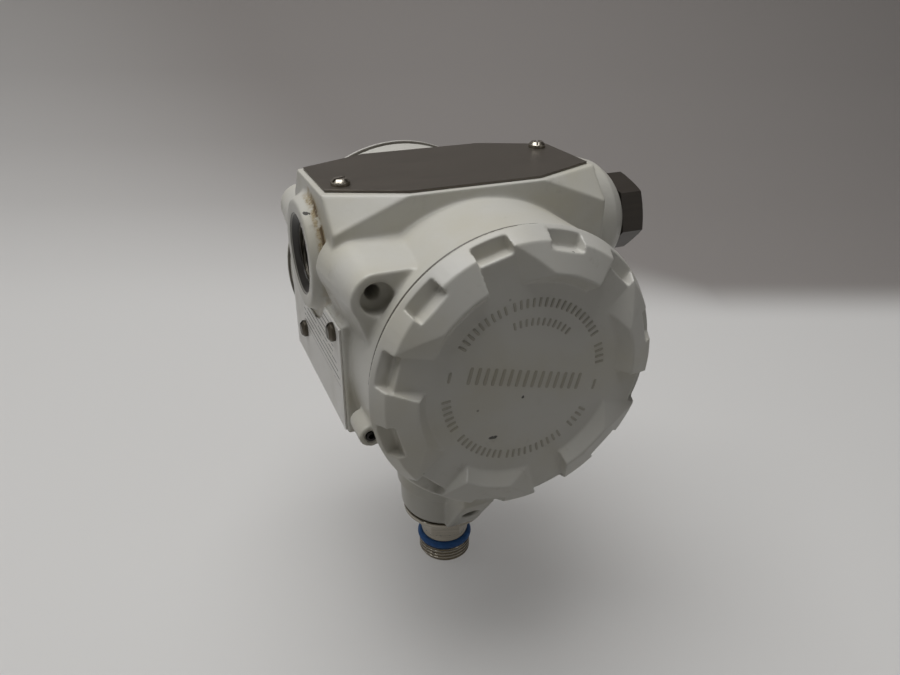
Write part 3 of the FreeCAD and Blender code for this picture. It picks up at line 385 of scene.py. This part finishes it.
def collar_rust(coat, under):
    """Yellow stain and brown grit in the crease at the foot of the open conduit's collar, from its
    top to its front, and a thin brown line at the front."""
    radius = coat.from_conduit()
    foot = coat.axis("X").band(COLLAR_X - 0.8 * MM, 1.1 * MM, 1.2 * MM)
    crease = radius.band(COLLAR_FOOT_R, 0.9 * MM, 1.3 * MM) * foot
    span = coat.axis("Y").rise(1.5 * MM, -2.0 * MM)
    high = coat.axis("Z").rise(CONDUIT_Z - 3.0 * MM, CONDUIT_Z + 3.0 * MM)
    front = coat.axis("Y").rise(-3.0 * MM, -9.0 * MM)
    line = crease * radius.band(COLLAR_FOOT_R, 0.25 * MM, 0.5 * MM) * front
    cloud = coat.noise(420.0, 4.0, 0.6)
    grit = coat.noise(2600.0, 4.0, 0.7)
    stain = crease * span * cloud.rise(0.30, 0.60)
    crust = crease * span * high * grit.rise(0.50, 0.60) * cloud.rise(0.36, 0.56)
    colour = coat.blend(under, RUST_STAIN, stain * (0.3 + high * 0.45))
    colour = coat.blend(colour, RUST_CRUST, crust * 0.7)
    colour = coat.blend(colour, RUST_LINE, line * high * cloud.rise(0.40, 0.52) * 0.85)
    return colour, crust * 0.4


def crease_dirt(coat, under):
    """Yellow-grey dirt between the collar, the lug and the side plate."""
    near = coat.distance((-40.5 * MM, -24.0 * MM, CONDUIT_Z - 4.0 * MM)).rise(11.0 * MM, 3.0 * MM)
    share = near * coat.noise(330.0, 4.0, 0.65).rise(0.42, 0.66)
    return coat.blend(under, CREASE_DIRT, share * 0.55), 0.0


def skirt_metal(coat, under):
    """Bare turned metal on the covers' screwed skirts, between the two seats."""
    place = coat.axis("Y")
    behind_front = (place - FRONT_SEAT).rise(0.1 * MM, 0.4 * MM)
    before_rear = (REAR_SEAT - place).rise(0.1 * MM, 0.4 * MM)
    return coat.blend(under, SKIRT_METAL, behind_front * before_rear), 0.0


def seat_line(coat, under):
    """Painted dark shade on the end of each cover's rim, in the seam where it meets the barrel."""
    place = coat.axis("Y")
    front = abs(place - FRONT_SEAT).rise(0.55 * MM, 0.25 * MM)
    rear = abs(place - REAR_SEAT).rise(0.55 * MM, 0.25 * MM)
    return coat.blend(under, SEAT_PAINTED_SHADE, (front + rear) * (0.75 + coat.noise(300.0) * 0.3)), 0.0


def barrel_seam(coat, under):
    """The same painted seam shade on the barrel's outer skin beside the covers, fainter at the rear."""
    place = coat.axis("Y")
    front = (place - FRONT_SEAT).rise(SEAM_REACH + SEAM_SOFT, SEAM_REACH)
    rear = (REAR_SEAT - place).rise(SEAM_REACH + SEAM_SOFT, SEAM_REACH)
    skin = coat.from_axis("X", "Z", (0.0, BARREL_Z)).band(BARREL_SKIN_R, 0.5 * MM, 0.3 * MM)
    return coat.blend(under, SEAM_PAINTED_SHADE, (front + rear * 0.35) * skin * 0.9), 0.0


def screw_shade(coat, under):
    """Painted black shade in the mouth of the neck's set screw hole."""
    radius = coat.from_axis("X", "Z", (0.0, SCREW_Z_MM * MM))
    hole = radius.rise(SCREW_HOLE_R + 0.25 * MM, SCREW_HOLE_R)
    return coat.blend(under, SCREW_HOLE_PAINTED_SHADE, hole * coat.axis("Y").rise(0.0, -1.0 * MM)), 0.0


# ---------------------------------------------------------------- finishes
def enamel(name, clean, marks=()):
    """Baked enamel on cast aluminium: orange peel, faint yellowing, grey smears, dark specks and
    the listed marks."""
    coat = Finish(name)
    warm = tuple(channel * share for channel, share in zip(clean, YELLOWING))
    colour = coat.blend(clean, warm, coat.noise(38.0, 4.0).rise(0.42, 0.72) * 0.6)
    smear = coat.noise(170.0, 5.0, 0.65).rise(0.58, 0.78) * coat.noise(23.0).rise(0.45, 0.62)
    colour = coat.blend(colour, SMEAR, smear * 0.35)
    specks = coat.cells(150.0).rise(0.085, 0.05) * coat.noise(61.0).rise(0.60, 0.66)
    colour = coat.blend(colour, SPECK, specks * 0.6)
    dents = specks * -0.4
    for mark in marks:
        colour, dent = mark(coat, colour)
        dents = dents + dent
    peel = coat.noise(520.0, 2.0) * 0.6 + coat.noise(1500.0, 2.0) * 0.25
    return coat.set(Base_Color=colour, Roughness=0.27 + coat.noise(90.0) * 0.16,
                    Normal=coat.bump(peel + dents * 2.0, 0.07 * MM, 0.7))


def steel(name, base, rough, grain, metallic=1.0):
    """Brushed steel whose fine lines run along the axis with the small scale."""
    coat = Finish(name)
    lines = coat.noise(1.0, 4.0, 0.6, coat.stretched(*grain))
    cloud = coat.noise(45.0, 3.0)
    colour = coat.blend(scaled(base, 0.72), base, lines.rise(0.30, 0.68) * 0.6 + cloud * 0.4)
    return coat.set(Base_Color=colour, Metallic=metallic, Roughness=rough + (lines - 0.5) * 0.16,
                    Normal=coat.bump(lines, 0.02 * MM, 0.6))


def rubber(name, base):
    """Matt moulded rubber with a faint bloom."""
    coat = Finish(name)
    bloom = coat.noise(240.0, 4.0).rise(0.5, 0.75)
    colour = coat.blend(base, scaled(base, 1.6, 0.02), bloom * 0.5)
    return coat.set(Base_Color=colour, Roughness=0.55 - bloom * 0.12,
                    Normal=coat.bump(coat.noise(1500.0), 0.02 * MM, 0.5))


def plastic(name, base):
    """Moulded plastic with fine grain."""
    coat = Finish(name)
    cloud = coat.noise(70.0, 3.0)
    colour = coat.blend(base, scaled(base, 1.25, 0.01), cloud)
    return coat.set(Base_Color=colour, Roughness=0.45 + cloud * 0.15,
                    Normal=coat.bump(coat.noise(1800.0), 0.02 * MM, 0.5))


def side_label():
    """Pale printed plate: rows of thin grey strokes with uneven gaps, which start further back the
    higher they are, between a bare foot and a bare top edge."""
    coat = Finish("side_label")
    along = coat.axis("Y")
    up = coat.axis("Z")
    row = ((up - PLATE_LOW[2]) * (1.0 / (2.1 * MM))).part().band(0.5, 0.07, 0.08)
    stroke = coat.noise(1.0, 2.0, 0.8, coat.stretched(0.0, 150.0, 240.0)).rise(0.36, 0.42)
    field = up.rise(PLATE_LOW[2] + 13.5 * MM, PLATE_LOW[2] + 13.9 * MM)
    field = field * up.rise(PLATE_HIGH[2] - 1.6 * MM, PLATE_HIGH[2] - 2.0 * MM)
    front_end = (up - PLATE_LOW[2]) * 0.55 + (PLATE_LOW[1] - 6.0 * MM)
    field = field * (along - front_end).rise(0.0, 0.6 * MM) * along.rise(14.0 * MM, 13.0 * MM)
    paper = coat.blend(LABEL_PAPER, LABEL_SHADE, coat.noise(55.0, 4.0).rise(0.4, 0.7))
    colour = coat.blend(paper, LABEL_INK, row * stroke * field * 0.9)
    return coat.set(Base_Color=colour, Metallic=0.0, Roughness=0.34 + coat.noise(150.0) * 0.12,
                    Normal=coat.bump(coat.noise(900.0), 0.02 * MM, 0.4))


# Chips: place, length and, where it differs, width.
COLLAR_CHIPS = [
    chip((-45.9 * MM, -8.2 * MM, 147.7 * MM), 1.5 * MM, 0.45 * MM),
    chip((-44.7 * MM, -9.2 * MM, 147.0 * MM), 1.1 * MM, 0.4 * MM),
]
COVER_CHIPS = [
    chip((-9.3 * MM, DISC_Y, BARREL_Z - 16.3 * MM), 1.5 * MM, 0.6 * MM),
    chip((25.7 * MM, FRONT_FACE, BARREL_Z + 4.1 * MM), 0.8 * MM),
    chip((33.0 * MM, FRONT_FACE + 2.6 * MM, BARREL_Z - 1.7 * MM), 0.8 * MM),
    chip((1.1 * MM, FRONT_FACE + 0.8 * MM, BARREL_Z - 28.8 * MM), 1.0 * MM),
    chip((-0.5 * MM, DISC_Y, BARREL_Z - 5.0 * MM), 0.5 * MM),
    chip((11.4 * MM, FRONT_FACE + 3.0 * MM, BARREL_Z + 36.2 * MM), 0.5 * MM),
]
# Of these marks, the conduit mouth's, the set screw hole's and the barrel seam's are painted shade, and
# the mouth's also a painted highlight.
CASTING_MARKS = [crease_dirt, mouth_shade_and_highlight, mouth_scuffs, collar_rust, screw_shade, barrel_seam]
FINISHES = {
    "white_paint": enamel("white_enamel", ENAMEL_WHITE, CASTING_MARKS + COLLAR_CHIPS),
    # The cover's seat line is painted seam shade.
    "cover_paint": enamel("cover_enamel", COVER_WHITE, COVER_CHIPS + [skirt_metal, seat_line]),
    "plug_paint": steel("black_plug_steel", rgba(64, 58, 52), 0.42, (40.0, 700.0, 700.0), 0.35),
    "stainless": steel("turned_stainless", rgba(184, 178, 166), 0.14, (60.0, 60.0, 2600.0)),
    "capsule_steel": steel("capsule_steel", rgba(190, 188, 184), 0.3, (60.0, 60.0, 1800.0)),
    "plate_steel": steel("dark_plate_steel", rgba(110, 104, 96), 0.40, (30.0, 900.0, 900.0), 0.75),
    "screw_steel": steel("screw_steel", rgba(186, 180, 168), 0.24, (500.0, 500.0, 500.0)),
    "dark_steel": steel("blackened_steel", rgba(34, 31, 28), 0.4, (500.0, 500.0, 500.0), 0.6),
    "blue_seal": rubber("blue_rubber", rgba(36, 92, 156)),
    "black_seal": rubber("black_rubber", rgba(20, 20, 20)),
    "board_green": plastic("board_laminate", rgba(24, 82, 46)),
    "component_black": plastic("component_case", rgba(28, 28, 30)),
    "terminal_black": plastic("terminal_moulding", rgba(34, 34, 36)),
    "spacer_brass": steel("spacer_brass", rgba(196, 160, 88), 0.3, (300.0, 300.0, 300.0)),
    "clamp_brass": steel("clamp_brass", rgba(190, 152, 80), 0.32, (300.0, 300.0, 300.0)),
}
CAST_METAL = steel("tapped_aluminium", rgba(120, 116, 106), 0.38, (900.0, 60.0, 60.0), 0.85)
MARK_PAINT = enamel("mark_enamel", MARK_GREY)
GRIMY_STEEL = steel("grimy_steel", rgba(96, 90, 80), 0.36, (500.0, 500.0, 500.0), 0.9)
LABEL = side_label()
for node_name, node_object in frame["nodes"].items():
    for material_slot in node_object.material_slots:
        material_slot.material = FINISHES[SLOT_OF[node_name]]


# ---------------------------------------------------------------- meshes
def new_piece(name, mesh, body, material):
    """An object at the origin that rides on a body and wears a finish."""
    thing = bpy.data.objects.new(name, mesh)
    bpy.context.scene.collection.objects.link(thing)
    mesh.materials.clear()
    mesh.materials.append(material)
    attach(thing, body)
    return thing


def stand_in(node, name, mesh, material=None):
    """A piece in place of a CAD node, on its body, in its finish unless another is given."""
    slot = SLOT_OF[node]
    piece = new_piece(name, mesh, BODY_OF[node], material or FINISHES[slot])
    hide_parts(node)


def surface(name, points, around=True, along=False):
    """A mesh of quads on a grid of points, closed round the columns and, if asked, the rows."""
    rows, columns = points.shape[:2]
    grid = np.arange(rows * columns).reshape(rows, columns)
    if around:
        grid = np.hstack([grid, grid[:, :1]])
    if along:
        grid = np.vstack([grid, grid[:1]])
    quads = np.stack([grid[:-1, :-1], grid[:-1, 1:], grid[1:, 1:], grid[1:, :-1]], axis=-1)
    mesh = bpy.data.meshes.new(name)
    mesh.from_pydata(points.reshape(-1, 3).tolist(), [], quads.reshape(-1, 4).tolist())
    mesh.shade_smooth()
    return mesh


def worked(mesh, work_on):
    """Runs one bmesh operation on a mesh."""
    work = bmesh.new()
    work.from_mesh(mesh)
    work_on(work)
    work.to_mesh(mesh)
    work.free()


def face_outwards(mesh):
    """Turns every face of a closed mesh outwards."""
    worked(mesh, lambda work: bmesh.ops.recalc_face_normals(work, faces=work.faces))


def merged_copy(node):
    """A copy of a CAD node's mesh with its loose triangles joined."""
    mesh = frame["nodes"][node].data.copy()
    worked(mesh, lambda work: bmesh.ops.remove_doubles(work, verts=work.verts, dist=0.002 * MM))
    return mesh


def with_modifiers(name, mesh, *modifiers):
    """A new mesh: the given one after a stack of (type, settings) modifiers."""
    thing = bpy.data.objects.new(name, mesh)
    bpy.context.scene.collection.objects.link(thing)
    for kind, settings in modifiers:
        modifier = thing.modifiers.new(kind, kind)
        for key, setting in settings.items():
            setattr(modifier, key, setting)
    graph = bpy.context.evaluated_depsgraph_get()
    done = bpy.data.meshes.new_from_object(thing.evaluated_get(graph))
    bpy.data.objects.remove(thing)
    done.name = name
    return done


def softened(node, name, cell, passes):
    """The CAD node as a casting: voxel-remeshed, its edges and corners rounded, and the mesh thinned
    to the most triangles that a casting may have."""
    mesh = with_modifiers(name, merged_copy(node),
                          ("REMESH", {"mode": "VOXEL", "voxel_size": cell, "adaptivity": 0.0}),
                          ("SMOOTH", {"factor": 0.5, "iterations": passes}))
    kept = min(1.0, MOST_TRIANGLES / (2.0 * len(mesh.polygons)))
    mesh = with_modifiers(name, mesh, ("DECIMATE", {"ratio": kept}))
    mesh.shade_smooth()
    stand_in(node, name, mesh)


def eased(node, name, width, material=None):
    """The CAD node with its sharp edges broken by a small rounded bevel, its flats shaded flat."""
    mesh = with_modifiers(name, merged_copy(node),
                          ("BEVEL", {"width": width, "segments": 2, "limit_method": "ANGLE",
                                     "angle_limit": BEVEL_OVER, "harden_normals": False}))
    mesh.shade_smooth()
    mesh.set_sharp_from_angle(angle=EASED_SHARP_OVER)
    mesh = with_modifiers(name, mesh, ("WEIGHTED_NORMAL", {"weight": 50, "keep_sharp": True}))
    stand_in(node, name, mesh, material)


def threaded(radius, depth, pitch, along, start, end):
    """Radii of a right-handed screw thread: on a grid of places along the axis by angles, the crest
    radius less a share of the depth, which is a rounded triangle wave of place / pitch less turn
    and fades out over half a pitch at each end."""
    turn = np.linspace(0.0, TURN, COLUMNS, endpoint=False)
    phase = along[:, None] / pitch - turn[None, :] / TURN
    valley = 0.5 + 0.5 * np.sin(TURN * phase)
    valley = np.clip(valley * 1.5 - 0.25, 0.0, 1.0)
    fade = np.clip(np.minimum(along - start, end - along) / (0.5 * pitch), 0.0, 1.0)
    return radius - depth * valley * fade[:, None]


def turned(radii, along, lift):
    """Points of a turned surface: radius by row and angle, place by row, mapped by lift."""
    turn = np.linspace(0.0, TURN, COLUMNS, endpoint=False)
    radii = np.broadcast_to(radii, (len(along), COLUMNS))
    places = np.broadcast_to(np.asarray(along)[:, None], radii.shape)
    return lift(radii * np.cos(turn), radii * np.sin(turn), places)


def upright(x, y, along):
    """Turned about the Z axis."""
    return np.stack([x, y, along], axis=-1)


def crossways(x, y, along):
    """Turned about the conduit's axis, which runs along X."""
    return np.stack([along, x, y + CONDUIT_Z], axis=-1)


def lengthways(x, y, along):
    """Turned about the barrel's axis, which runs along Y."""
    return np.stack([y, along, x + BARREL_Z], axis=-1)


def plain_rows(pairs):
    """Radii and places of plain turned rows, from pairs of a radius and a place in millimetres."""
    pairs = np.array(pairs) * MM
    return np.repeat(pairs[:, :1], COLUMNS, axis=1), pairs[:, 1]


def hexagon_rows():
    """Radii and places of the hexagon: the least of its flat, which is half its width over the
    cosine of the angle from the flat's middle, and of a cone at each end."""
    along = np.linspace(HEX_FOOT_MM, HEX_TOP_MM, HEX_ROWS) * MM
    half = HEX_HALF_MM * MM
    turn = np.linspace(0.0, TURN, COLUMNS, endpoint=False) - HEX_TURN
    flat = half / np.cos(np.mod(turn, TURN / 6) - TURN / 12)
    low_cone = half + (along - along[0]) * HEX_CONE_SLOPE
    high_cone = half + (along[-1] - along) * HEX_CONE_SLOPE + HEX_CONE_LIFT_MM * MM
    return np.minimum(flat[None, :], np.minimum(low_cone, high_cone)[:, None]), along


def threaded_nose():
    """The process connector as one turned profile, closed on itself: up its outside over a screw
    thread, the O-ring's groove, a waist, the hexagon, a cone to the flange and the spigot with its
    two grooves, and back down the bore."""
    thread_along = np.arange(THREAD_FROM_MM, THREAD_TO_MM - 0.1, THREAD_PITCH_MM / NOSE_ROWS_A_TURN) * MM
    thread = threaded(THREAD_R_MM * MM, THREAD_DEPTH_MM * MM, THREAD_PITCH_MM * MM, thread_along,
                      THREAD_FADE_MM * MM, THREAD_TO_MM * MM)
    stretches = [
        plain_rows([
            (PORT_R_MM, 0.35),
            (PORT_R_MM + 0.35, 0.0),
            (THREAD_R_MM - 1.1, 0.0),
            (THREAD_R_MM - 0.9, 0.05),
        ]),
        (thread, thread_along),
        plain_rows([
            (THREAD_R_MM - 0.1, THREAD_TO_MM - 0.1),
            (THREAD_R_MM - 0.25, THREAD_TO_MM),
            (GROOVE_R_MM, THREAD_TO_MM),
            (GROOVE_R_MM, GROOVE_TOP_MM),
            (WAIST_R_MM - EDGE_MM, GROOVE_TOP_MM),
            (WAIST_R_MM, GROOVE_TOP_MM + EDGE_MM),
            (WAIST_R_MM, HEX_FOOT_MM),
        ]),
        hexagon_rows(),
        plain_rows([
            (CONE_R_MM - EDGE_MM, HEX_TOP_MM),
            (CONE_R_MM, HEX_TOP_MM + 0.15),
            (FLANGE_R_MM - EDGE_MM, FLANGE_FOOT_MM),
            (FLANGE_R_MM, FLANGE_FOOT_MM + EDGE_MM),
            (FLANGE_R_MM, FLANGE_TOP_MM - EDGE_MM),
            (FLANGE_R_MM - EDGE_MM, FLANGE_TOP_MM),
            (SPIGOT_R_MM, FLANGE_TOP_MM),
            (SPIGOT_R_MM, SCREW_Z_MM - SCREW_GROOVE_HALF_MM),
            (SCREW_GROOVE_R_MM, SCREW_Z_MM - SCREW_GROOVE_HALF_MM),
            (SCREW_GROOVE_R_MM, SCREW_Z_MM + SCREW_GROOVE_HALF_MM),
            (SPIGOT_R_MM, SCREW_Z_MM + SCREW_GROOVE_HALF_MM),
            (SPIGOT_R_MM, SEAL_MM - SEAL_GROOVE_HALF_MM),
            (SEAL_GROOVE_R_MM, SEAL_MM - SEAL_GROOVE_HALF_MM),
            (SEAL_GROOVE_R_MM, SEAL_MM + SEAL_GROOVE_HALF_MM),
            (SPIGOT_R_MM, SEAL_MM + SEAL_GROOVE_HALF_MM),
            (SPIGOT_R_MM, SPIGOT_TOP_MM - SPIGOT_EDGE_MM),
            (SPIGOT_R_MM - SPIGOT_EDGE_MM, SPIGOT_TOP_MM),
            (CAPSULE_R_MM, SPIGOT_TOP_MM),
            (CAPSULE_R_MM, PORT_TOP_MM),
            (PORT_R_MM, PORT_TOP_MM),
        ]),
    ]
    radii = np.concatenate([rows for rows, places in stretches])
    along = np.concatenate([places for rows, places in stretches])
    mesh = surface("threaded_nose", turned(radii, along, upright), along=True)
    mesh.set_sharp_from_angle(angle=NOSE_SHARP_OVER)
    stand_in("process_connector", "threaded_nose", mesh)


def thread_sleeve(name, body, lift, wall, crest, pitch, start, end):
    """A closed ring between two places along the axis: one side a plain cylinder of radius wall, the
    other a thread that stands out from it to radius crest, inwards or outwards."""
    along = np.linspace(start, end, int((end - start) / pitch * SLEEVE_ROWS_A_TURN))
    valley = wall - (wall - crest) * 0.15
    screw = threaded(crest, crest - valley, pitch, along, start, end)
    radii = np.concatenate([screw, np.full((2, COLUMNS), wall)])
    places = np.concatenate([along, [end, start]])
    if crest < wall:
        radii, places = radii[::-1], places[::-1]
    mesh = surface(name, turned(radii, places, lift), along=True)
    face_outwards(mesh)
    mesh.set_sharp_from_angle(angle=SLEEVE_SHARP_OVER)
    new_piece(name, mesh, body, CAST_METAL)


def ring_dash(radius, degree, size):
    """A dash of the disc that points along the radius of a circle."""
    place = math.radians(degree + MARK_TURN)
    return (radius * math.cos(place), radius * math.sin(place), degree + MARK_TURN) + size


def row_dash(along, up, size):
    """A dash of the disc's middle row, square to the row."""
    tilt = math.radians(MARK_TURN)
    across = along * math.cos(tilt) - up * math.sin(tilt)
    rise = along * math.sin(tilt) + up * math.cos(tilt)
    return (across, rise, MARK_TURN + 90.0) + size


def disc_marks():
    """Centre, turn, length and width of every dash on a cover's disc: an outer ring in groups, a
    short inner arc, a middle row and one dash at each end of that row."""
    marks = []
    for group_from, group_to in RING_GROUPS:
        for degree in np.arange(group_from, group_to, RING_STEP):
            marks.append(ring_dash(RING_R_MM, degree, RING_DASH_MM))
    for degree in np.arange(ARC_FROM, ARC_TO, ARC_STEP):
        marks.append(ring_dash(ARC_R_MM, degree, ARC_DASH_MM))
    for step in range(-ROW_EACH_SIDE, ROW_EACH_SIDE + 1):
        marks.append(row_dash(step * ROW_STEP_MM, ROW_RISE_MM, ROW_DASH_MM))
    for side in (-1.0, 1.0):
        marks.append(row_dash(side * END_AT_MM, 0.0, END_DASH_MM))
    return np.array(marks)


def raised_dashes(name, body, face_y, outward):
    """The raised dashes on a cover's disc: each is a stack of loops, superellipses of half its length
    by half its width times the loop's share, closed by a flat face at the foot and at the top."""
    marks = disc_marks()
    loop = np.linspace(0.0, TURN, DASH_POINTS, endpoint=False) + TURN / (2 * DASH_POINTS)
    corner = np.stack([np.cos(loop), np.sin(loop)], axis=-1)
    square = np.sign(corner) * np.abs(corner) ** DASH_POWER
    loops = np.array(DASH_LOOPS)
    half = marks[:, 3:5] / 2.0
    flat = square[None, None] * loops[None, :, None, :1] * half[:, None, None, :]
    turn = np.radians(marks[:, 2])[:, None, None]
    across = marks[:, 0][:, None, None] + flat[..., 0] * np.cos(turn) - flat[..., 1] * np.sin(turn)
    up = marks[:, 1][:, None, None] + flat[..., 0] * np.sin(turn) + flat[..., 1] * np.cos(turn)
    lift = np.broadcast_to(loops[None, :, None, 1], across.shape)
    points = np.stack([-outward * across * MM, face_y + outward * lift * MM, BARREL_Z + up * MM], axis=-1)
    first = np.arange(across.size).reshape(across.shape)
    after = np.roll(first, -1, axis=2)
    quads = np.stack([first[:, :-1], after[:, :-1], after[:, 1:], first[:, 1:]], axis=-1)
    caps = first[:, -1].tolist() + first[:, 0, ::-1].tolist()
    mesh = bpy.data.meshes.new(name)
    mesh.from_pydata(points.reshape(-1, 3).tolist(), [], quads.reshape(-1, 4).tolist() + caps)
    face_outwards(mesh)
    new_piece(name, mesh, body, MARK_PAINT)


# ---------------------------------------------------------------- pieces
softened("housing_casting", "cast_housing", 0.55 * MM, 5)
softened("front_cover", "cast_front_cover", 0.38 * MM, 2)
softened("rear_cover", "cast_rear_cover", 0.38 * MM, 2)
eased("name_plate", "rolled_name_plate", 0.15 * MM)
eased("side_plate", "printed_side_plate", 0.12 * MM, LABEL)
eased("conduit_plug", "hexagon_plug", 0.35 * MM)
eased("name_plate_screws", "plate_screws", 0.18 * MM)
eased("side_plate_screws", "label_screws", 0.18 * MM, GRIMY_STEEL)
eased("neck_set_screw", "socket_set_screw", 0.12 * MM)
eased("cover_lock_screw", "socket_lock_screw", 0.08 * MM)
threaded_nose()
thread_sleeve("conduit_threads", "housing", crossways, CONDUIT_WALL_R, CONDUIT_CREST_R,
              CONDUIT_PITCH, CONDUIT_THREAD_FROM, CONDUIT_THREAD_TO)
thread_sleeve("front_cover_threads", "front_cover", lengthways, SKIRT_R, SKIRT_CREST_R, SKIRT_PITCH,
              FRONT_FACE + SKIRT_THREAD_FROM, FRONT_FACE + SKIRT_THREAD_TO)
thread_sleeve("rear_cover_threads", "rear_cover", lengthways, SKIRT_R, SKIRT_CREST_R, SKIRT_PITCH,
              REAR_FACE - SKIRT_THREAD_TO, REAR_FACE - SKIRT_THREAD_FROM)
raised_dashes("front_disc_marks", "front_cover", DISC_Y, -1.0)
raised_dashes("rear_disc_marks", "rear_cover", REAR_DISC_Y, 1.0)

# ---------------------------------------------------------------- stage, light and camera
CAMERA_AT = Vector((-87.62, -214.2, 214.96)) * MM
CAMERA_AZIMUTH = math.radians(-22.74)
CAMERA_DOWN = math.radians(27.45)
CAMERA_ROLL = math.radians(0.2)
LENS_MM = 29.94
SENSOR_MM = 36.0
# The sweep: half its width, and its height at depths away from the camera.
FAR = 3.0
SWEEP_COLUMNS = 25
SWEEP_DEPTH = [-FAR, -1.0, 0.0, 0.30, 0.42, 0.52, 0.60, 0.66, 0.70, 0.72]
SWEEP_HEIGHT = [0.0, 0.0, 0.0, 0.0, 0.012, 0.045, 0.10, 0.20, 0.45, FAR]
FLOOR_SEEN = rgba(192, 191, 189)
FLOOR_GLOW = rgba(108, 107, 106)
FLOOR_BOUNCE = rgba(160, 158, 154)
BACKDROP_SEEN = rgba(152, 147, 144)
ROOM_SEEN = rgba(112, 109, 105)
ROOM_LEVEL = 0.055
# Where the pale floor turns grey: the depth at which it starts, and over what depth, which shrinks
# towards the right down to a least depth.
EDGE_START = 0.205
EDGE_WIDE = 0.24
EDGE_SPREAD = 0.9
EDGE_LEAST = 0.07
# Lamps: name, place, point aimed at, width, height and watts.
LAMPS = [
    ("overhead_bank", (-0.12, 0.09, 1.0), (0.0, 0.0, 0.1), 0.8, 0.8, 7.4),
    ("left_bank", (-1.0, 0.5, 0.5), (0.0, 0.0, 0.1), 0.8, 0.8, 0.35),
    ("left_strip", (-0.68, -0.15, 0.30), (0.0, 0.0, 0.05), 0.07, 0.5, 0.16),
    ("right_strip", (0.38, -0.59, 0.30), (0.0, 0.0, 0.05), 0.07, 0.5, 0.16),
]


def studio_sweep(material):
    """A floor that sweeps up into a backdrop: heights by depth away from the camera, carried
    sideways."""
    across = np.linspace(-FAR, FAR, SWEEP_COLUMNS)
    away = np.array([-math.sin(CAMERA_AZIMUTH), math.cos(CAMERA_AZIMUTH)])
    side = np.array([away[1], -away[0]])
    plan = np.array(SWEEP_DEPTH)[:, None, None] * away + across[None, :, None] * side
    height = np.broadcast_to(np.array(SWEEP_HEIGHT)[:, None, None], plan.shape[:2] + (1,))
    mesh = surface("studio_sweep", np.concatenate([plan, height], axis=2), around=False)
    mesh.materials.append(material)
    floor = bpy.data.objects.new("studio_sweep", mesh)
    bpy.context.scene.collection.objects.link(floor)


def seen_directly(nodes):
    """1 where a camera, glossy or transmission ray looks, 0 for light that only bounces."""
    rays = [nodes.add("ShaderNodeLightPath", output=name)
            for name in ("Is Camera Ray", "Is Glossy Ray", "Is Transmission Ray")]
    return (rays[0] + rays[1] + rays[2]).maths("MINIMUM", 1.0)


def stage_material():
    """Paper that is pale near the object and grey behind it. Looked at directly it glows a little,
    which softens the object's shadow; for light that only bounces it is darker."""
    paper = Finish("studio_paper")
    away = paper.axis("X") * -math.sin(CAMERA_AZIMUTH) + paper.axis("Y") * math.cos(CAMERA_AZIMUTH)
    side = paper.axis("X") * math.cos(CAMERA_AZIMUTH) + paper.axis("Y") * math.sin(CAMERA_AZIMUTH)
    wide = (EDGE_WIDE - side * EDGE_SPREAD).maths("MAXIMUM", EDGE_LEAST)
    lean = ((away - EDGE_START) / wide).rise(0.0, 1.0)
    watched = seen_directly(paper)
    seen = paper.blend(FLOOR_SEEN, BACKDROP_SEEN, lean)
    bounced = paper.blend(FLOOR_BOUNCE, BACKDROP_SEEN, lean)
    glow = paper.blend(FLOOR_GLOW, BLACK, lean)
    return paper.set(Base_Color=paper.blend(bounced, seen, watched), Roughness=0.9,
                     Emission_Strength=1.0, Emission_Color=paper.blend(BLACK, glow, watched))


def lamp(name, at, towards, wide, high, power):
    """A rectangular soft lamp aimed at a point."""
    light = bpy.data.lights.new(name, "AREA")
    light.shape = "RECTANGLE"
    light.size = wide
    light.size_y = high
    light.energy = power
    thing = bpy.data.objects.new(name, light)
    thing.location = at
    thing.rotation_euler = (Vector(towards) - Vector(at)).to_track_quat("-Z", "Y").to_euler()
    bpy.context.scene.collection.objects.link(thing)


def room(level, seen):
    """Surroundings that light evenly at a level, and are seen and reflected in a colour."""
    surroundings = bpy.data.worlds.new("studio_room")
    surroundings.use_nodes = True
    bpy.context.scene.world = surroundings
    nodes = Nodes(surroundings.node_tree)
    shade = nodes.tree.nodes["Background"]
    shade.inputs["Strength"].default_value = 1.0
    colour = nodes.blend((level, level, level, 1.0), seen, seen_directly(nodes))
    nodes.tree.links.new(colour.socket, shade.inputs["Color"])


studio_sweep(stage_material())
for lamp_settings in LAMPS:
    lamp(*lamp_settings)
room(ROOM_LEVEL, ROOM_SEEN)

view = bpy.data.cameras.new("view")
view.sensor_width = SENSOR_MM
view.lens = LENS_MM
view.clip_start = 0.01
camera = bpy.data.objects.new("view", view)
camera.matrix_world = (Matrix.Translation(CAMERA_AT)
                       @ Matrix.Rotation(CAMERA_AZIMUTH, 4, "Z")
                       @ Matrix.Rotation(math.radians(90.0) - CAMERA_DOWN, 4, "X")
                       @ Matrix.Rotation(CAMERA_ROLL, 4, "Z"))
bpy.context.scene.collection.objects.link(camera)
bpy.context.scene.camera = camera

bpy.context.scene.view_settings.view_transform = "Standard"
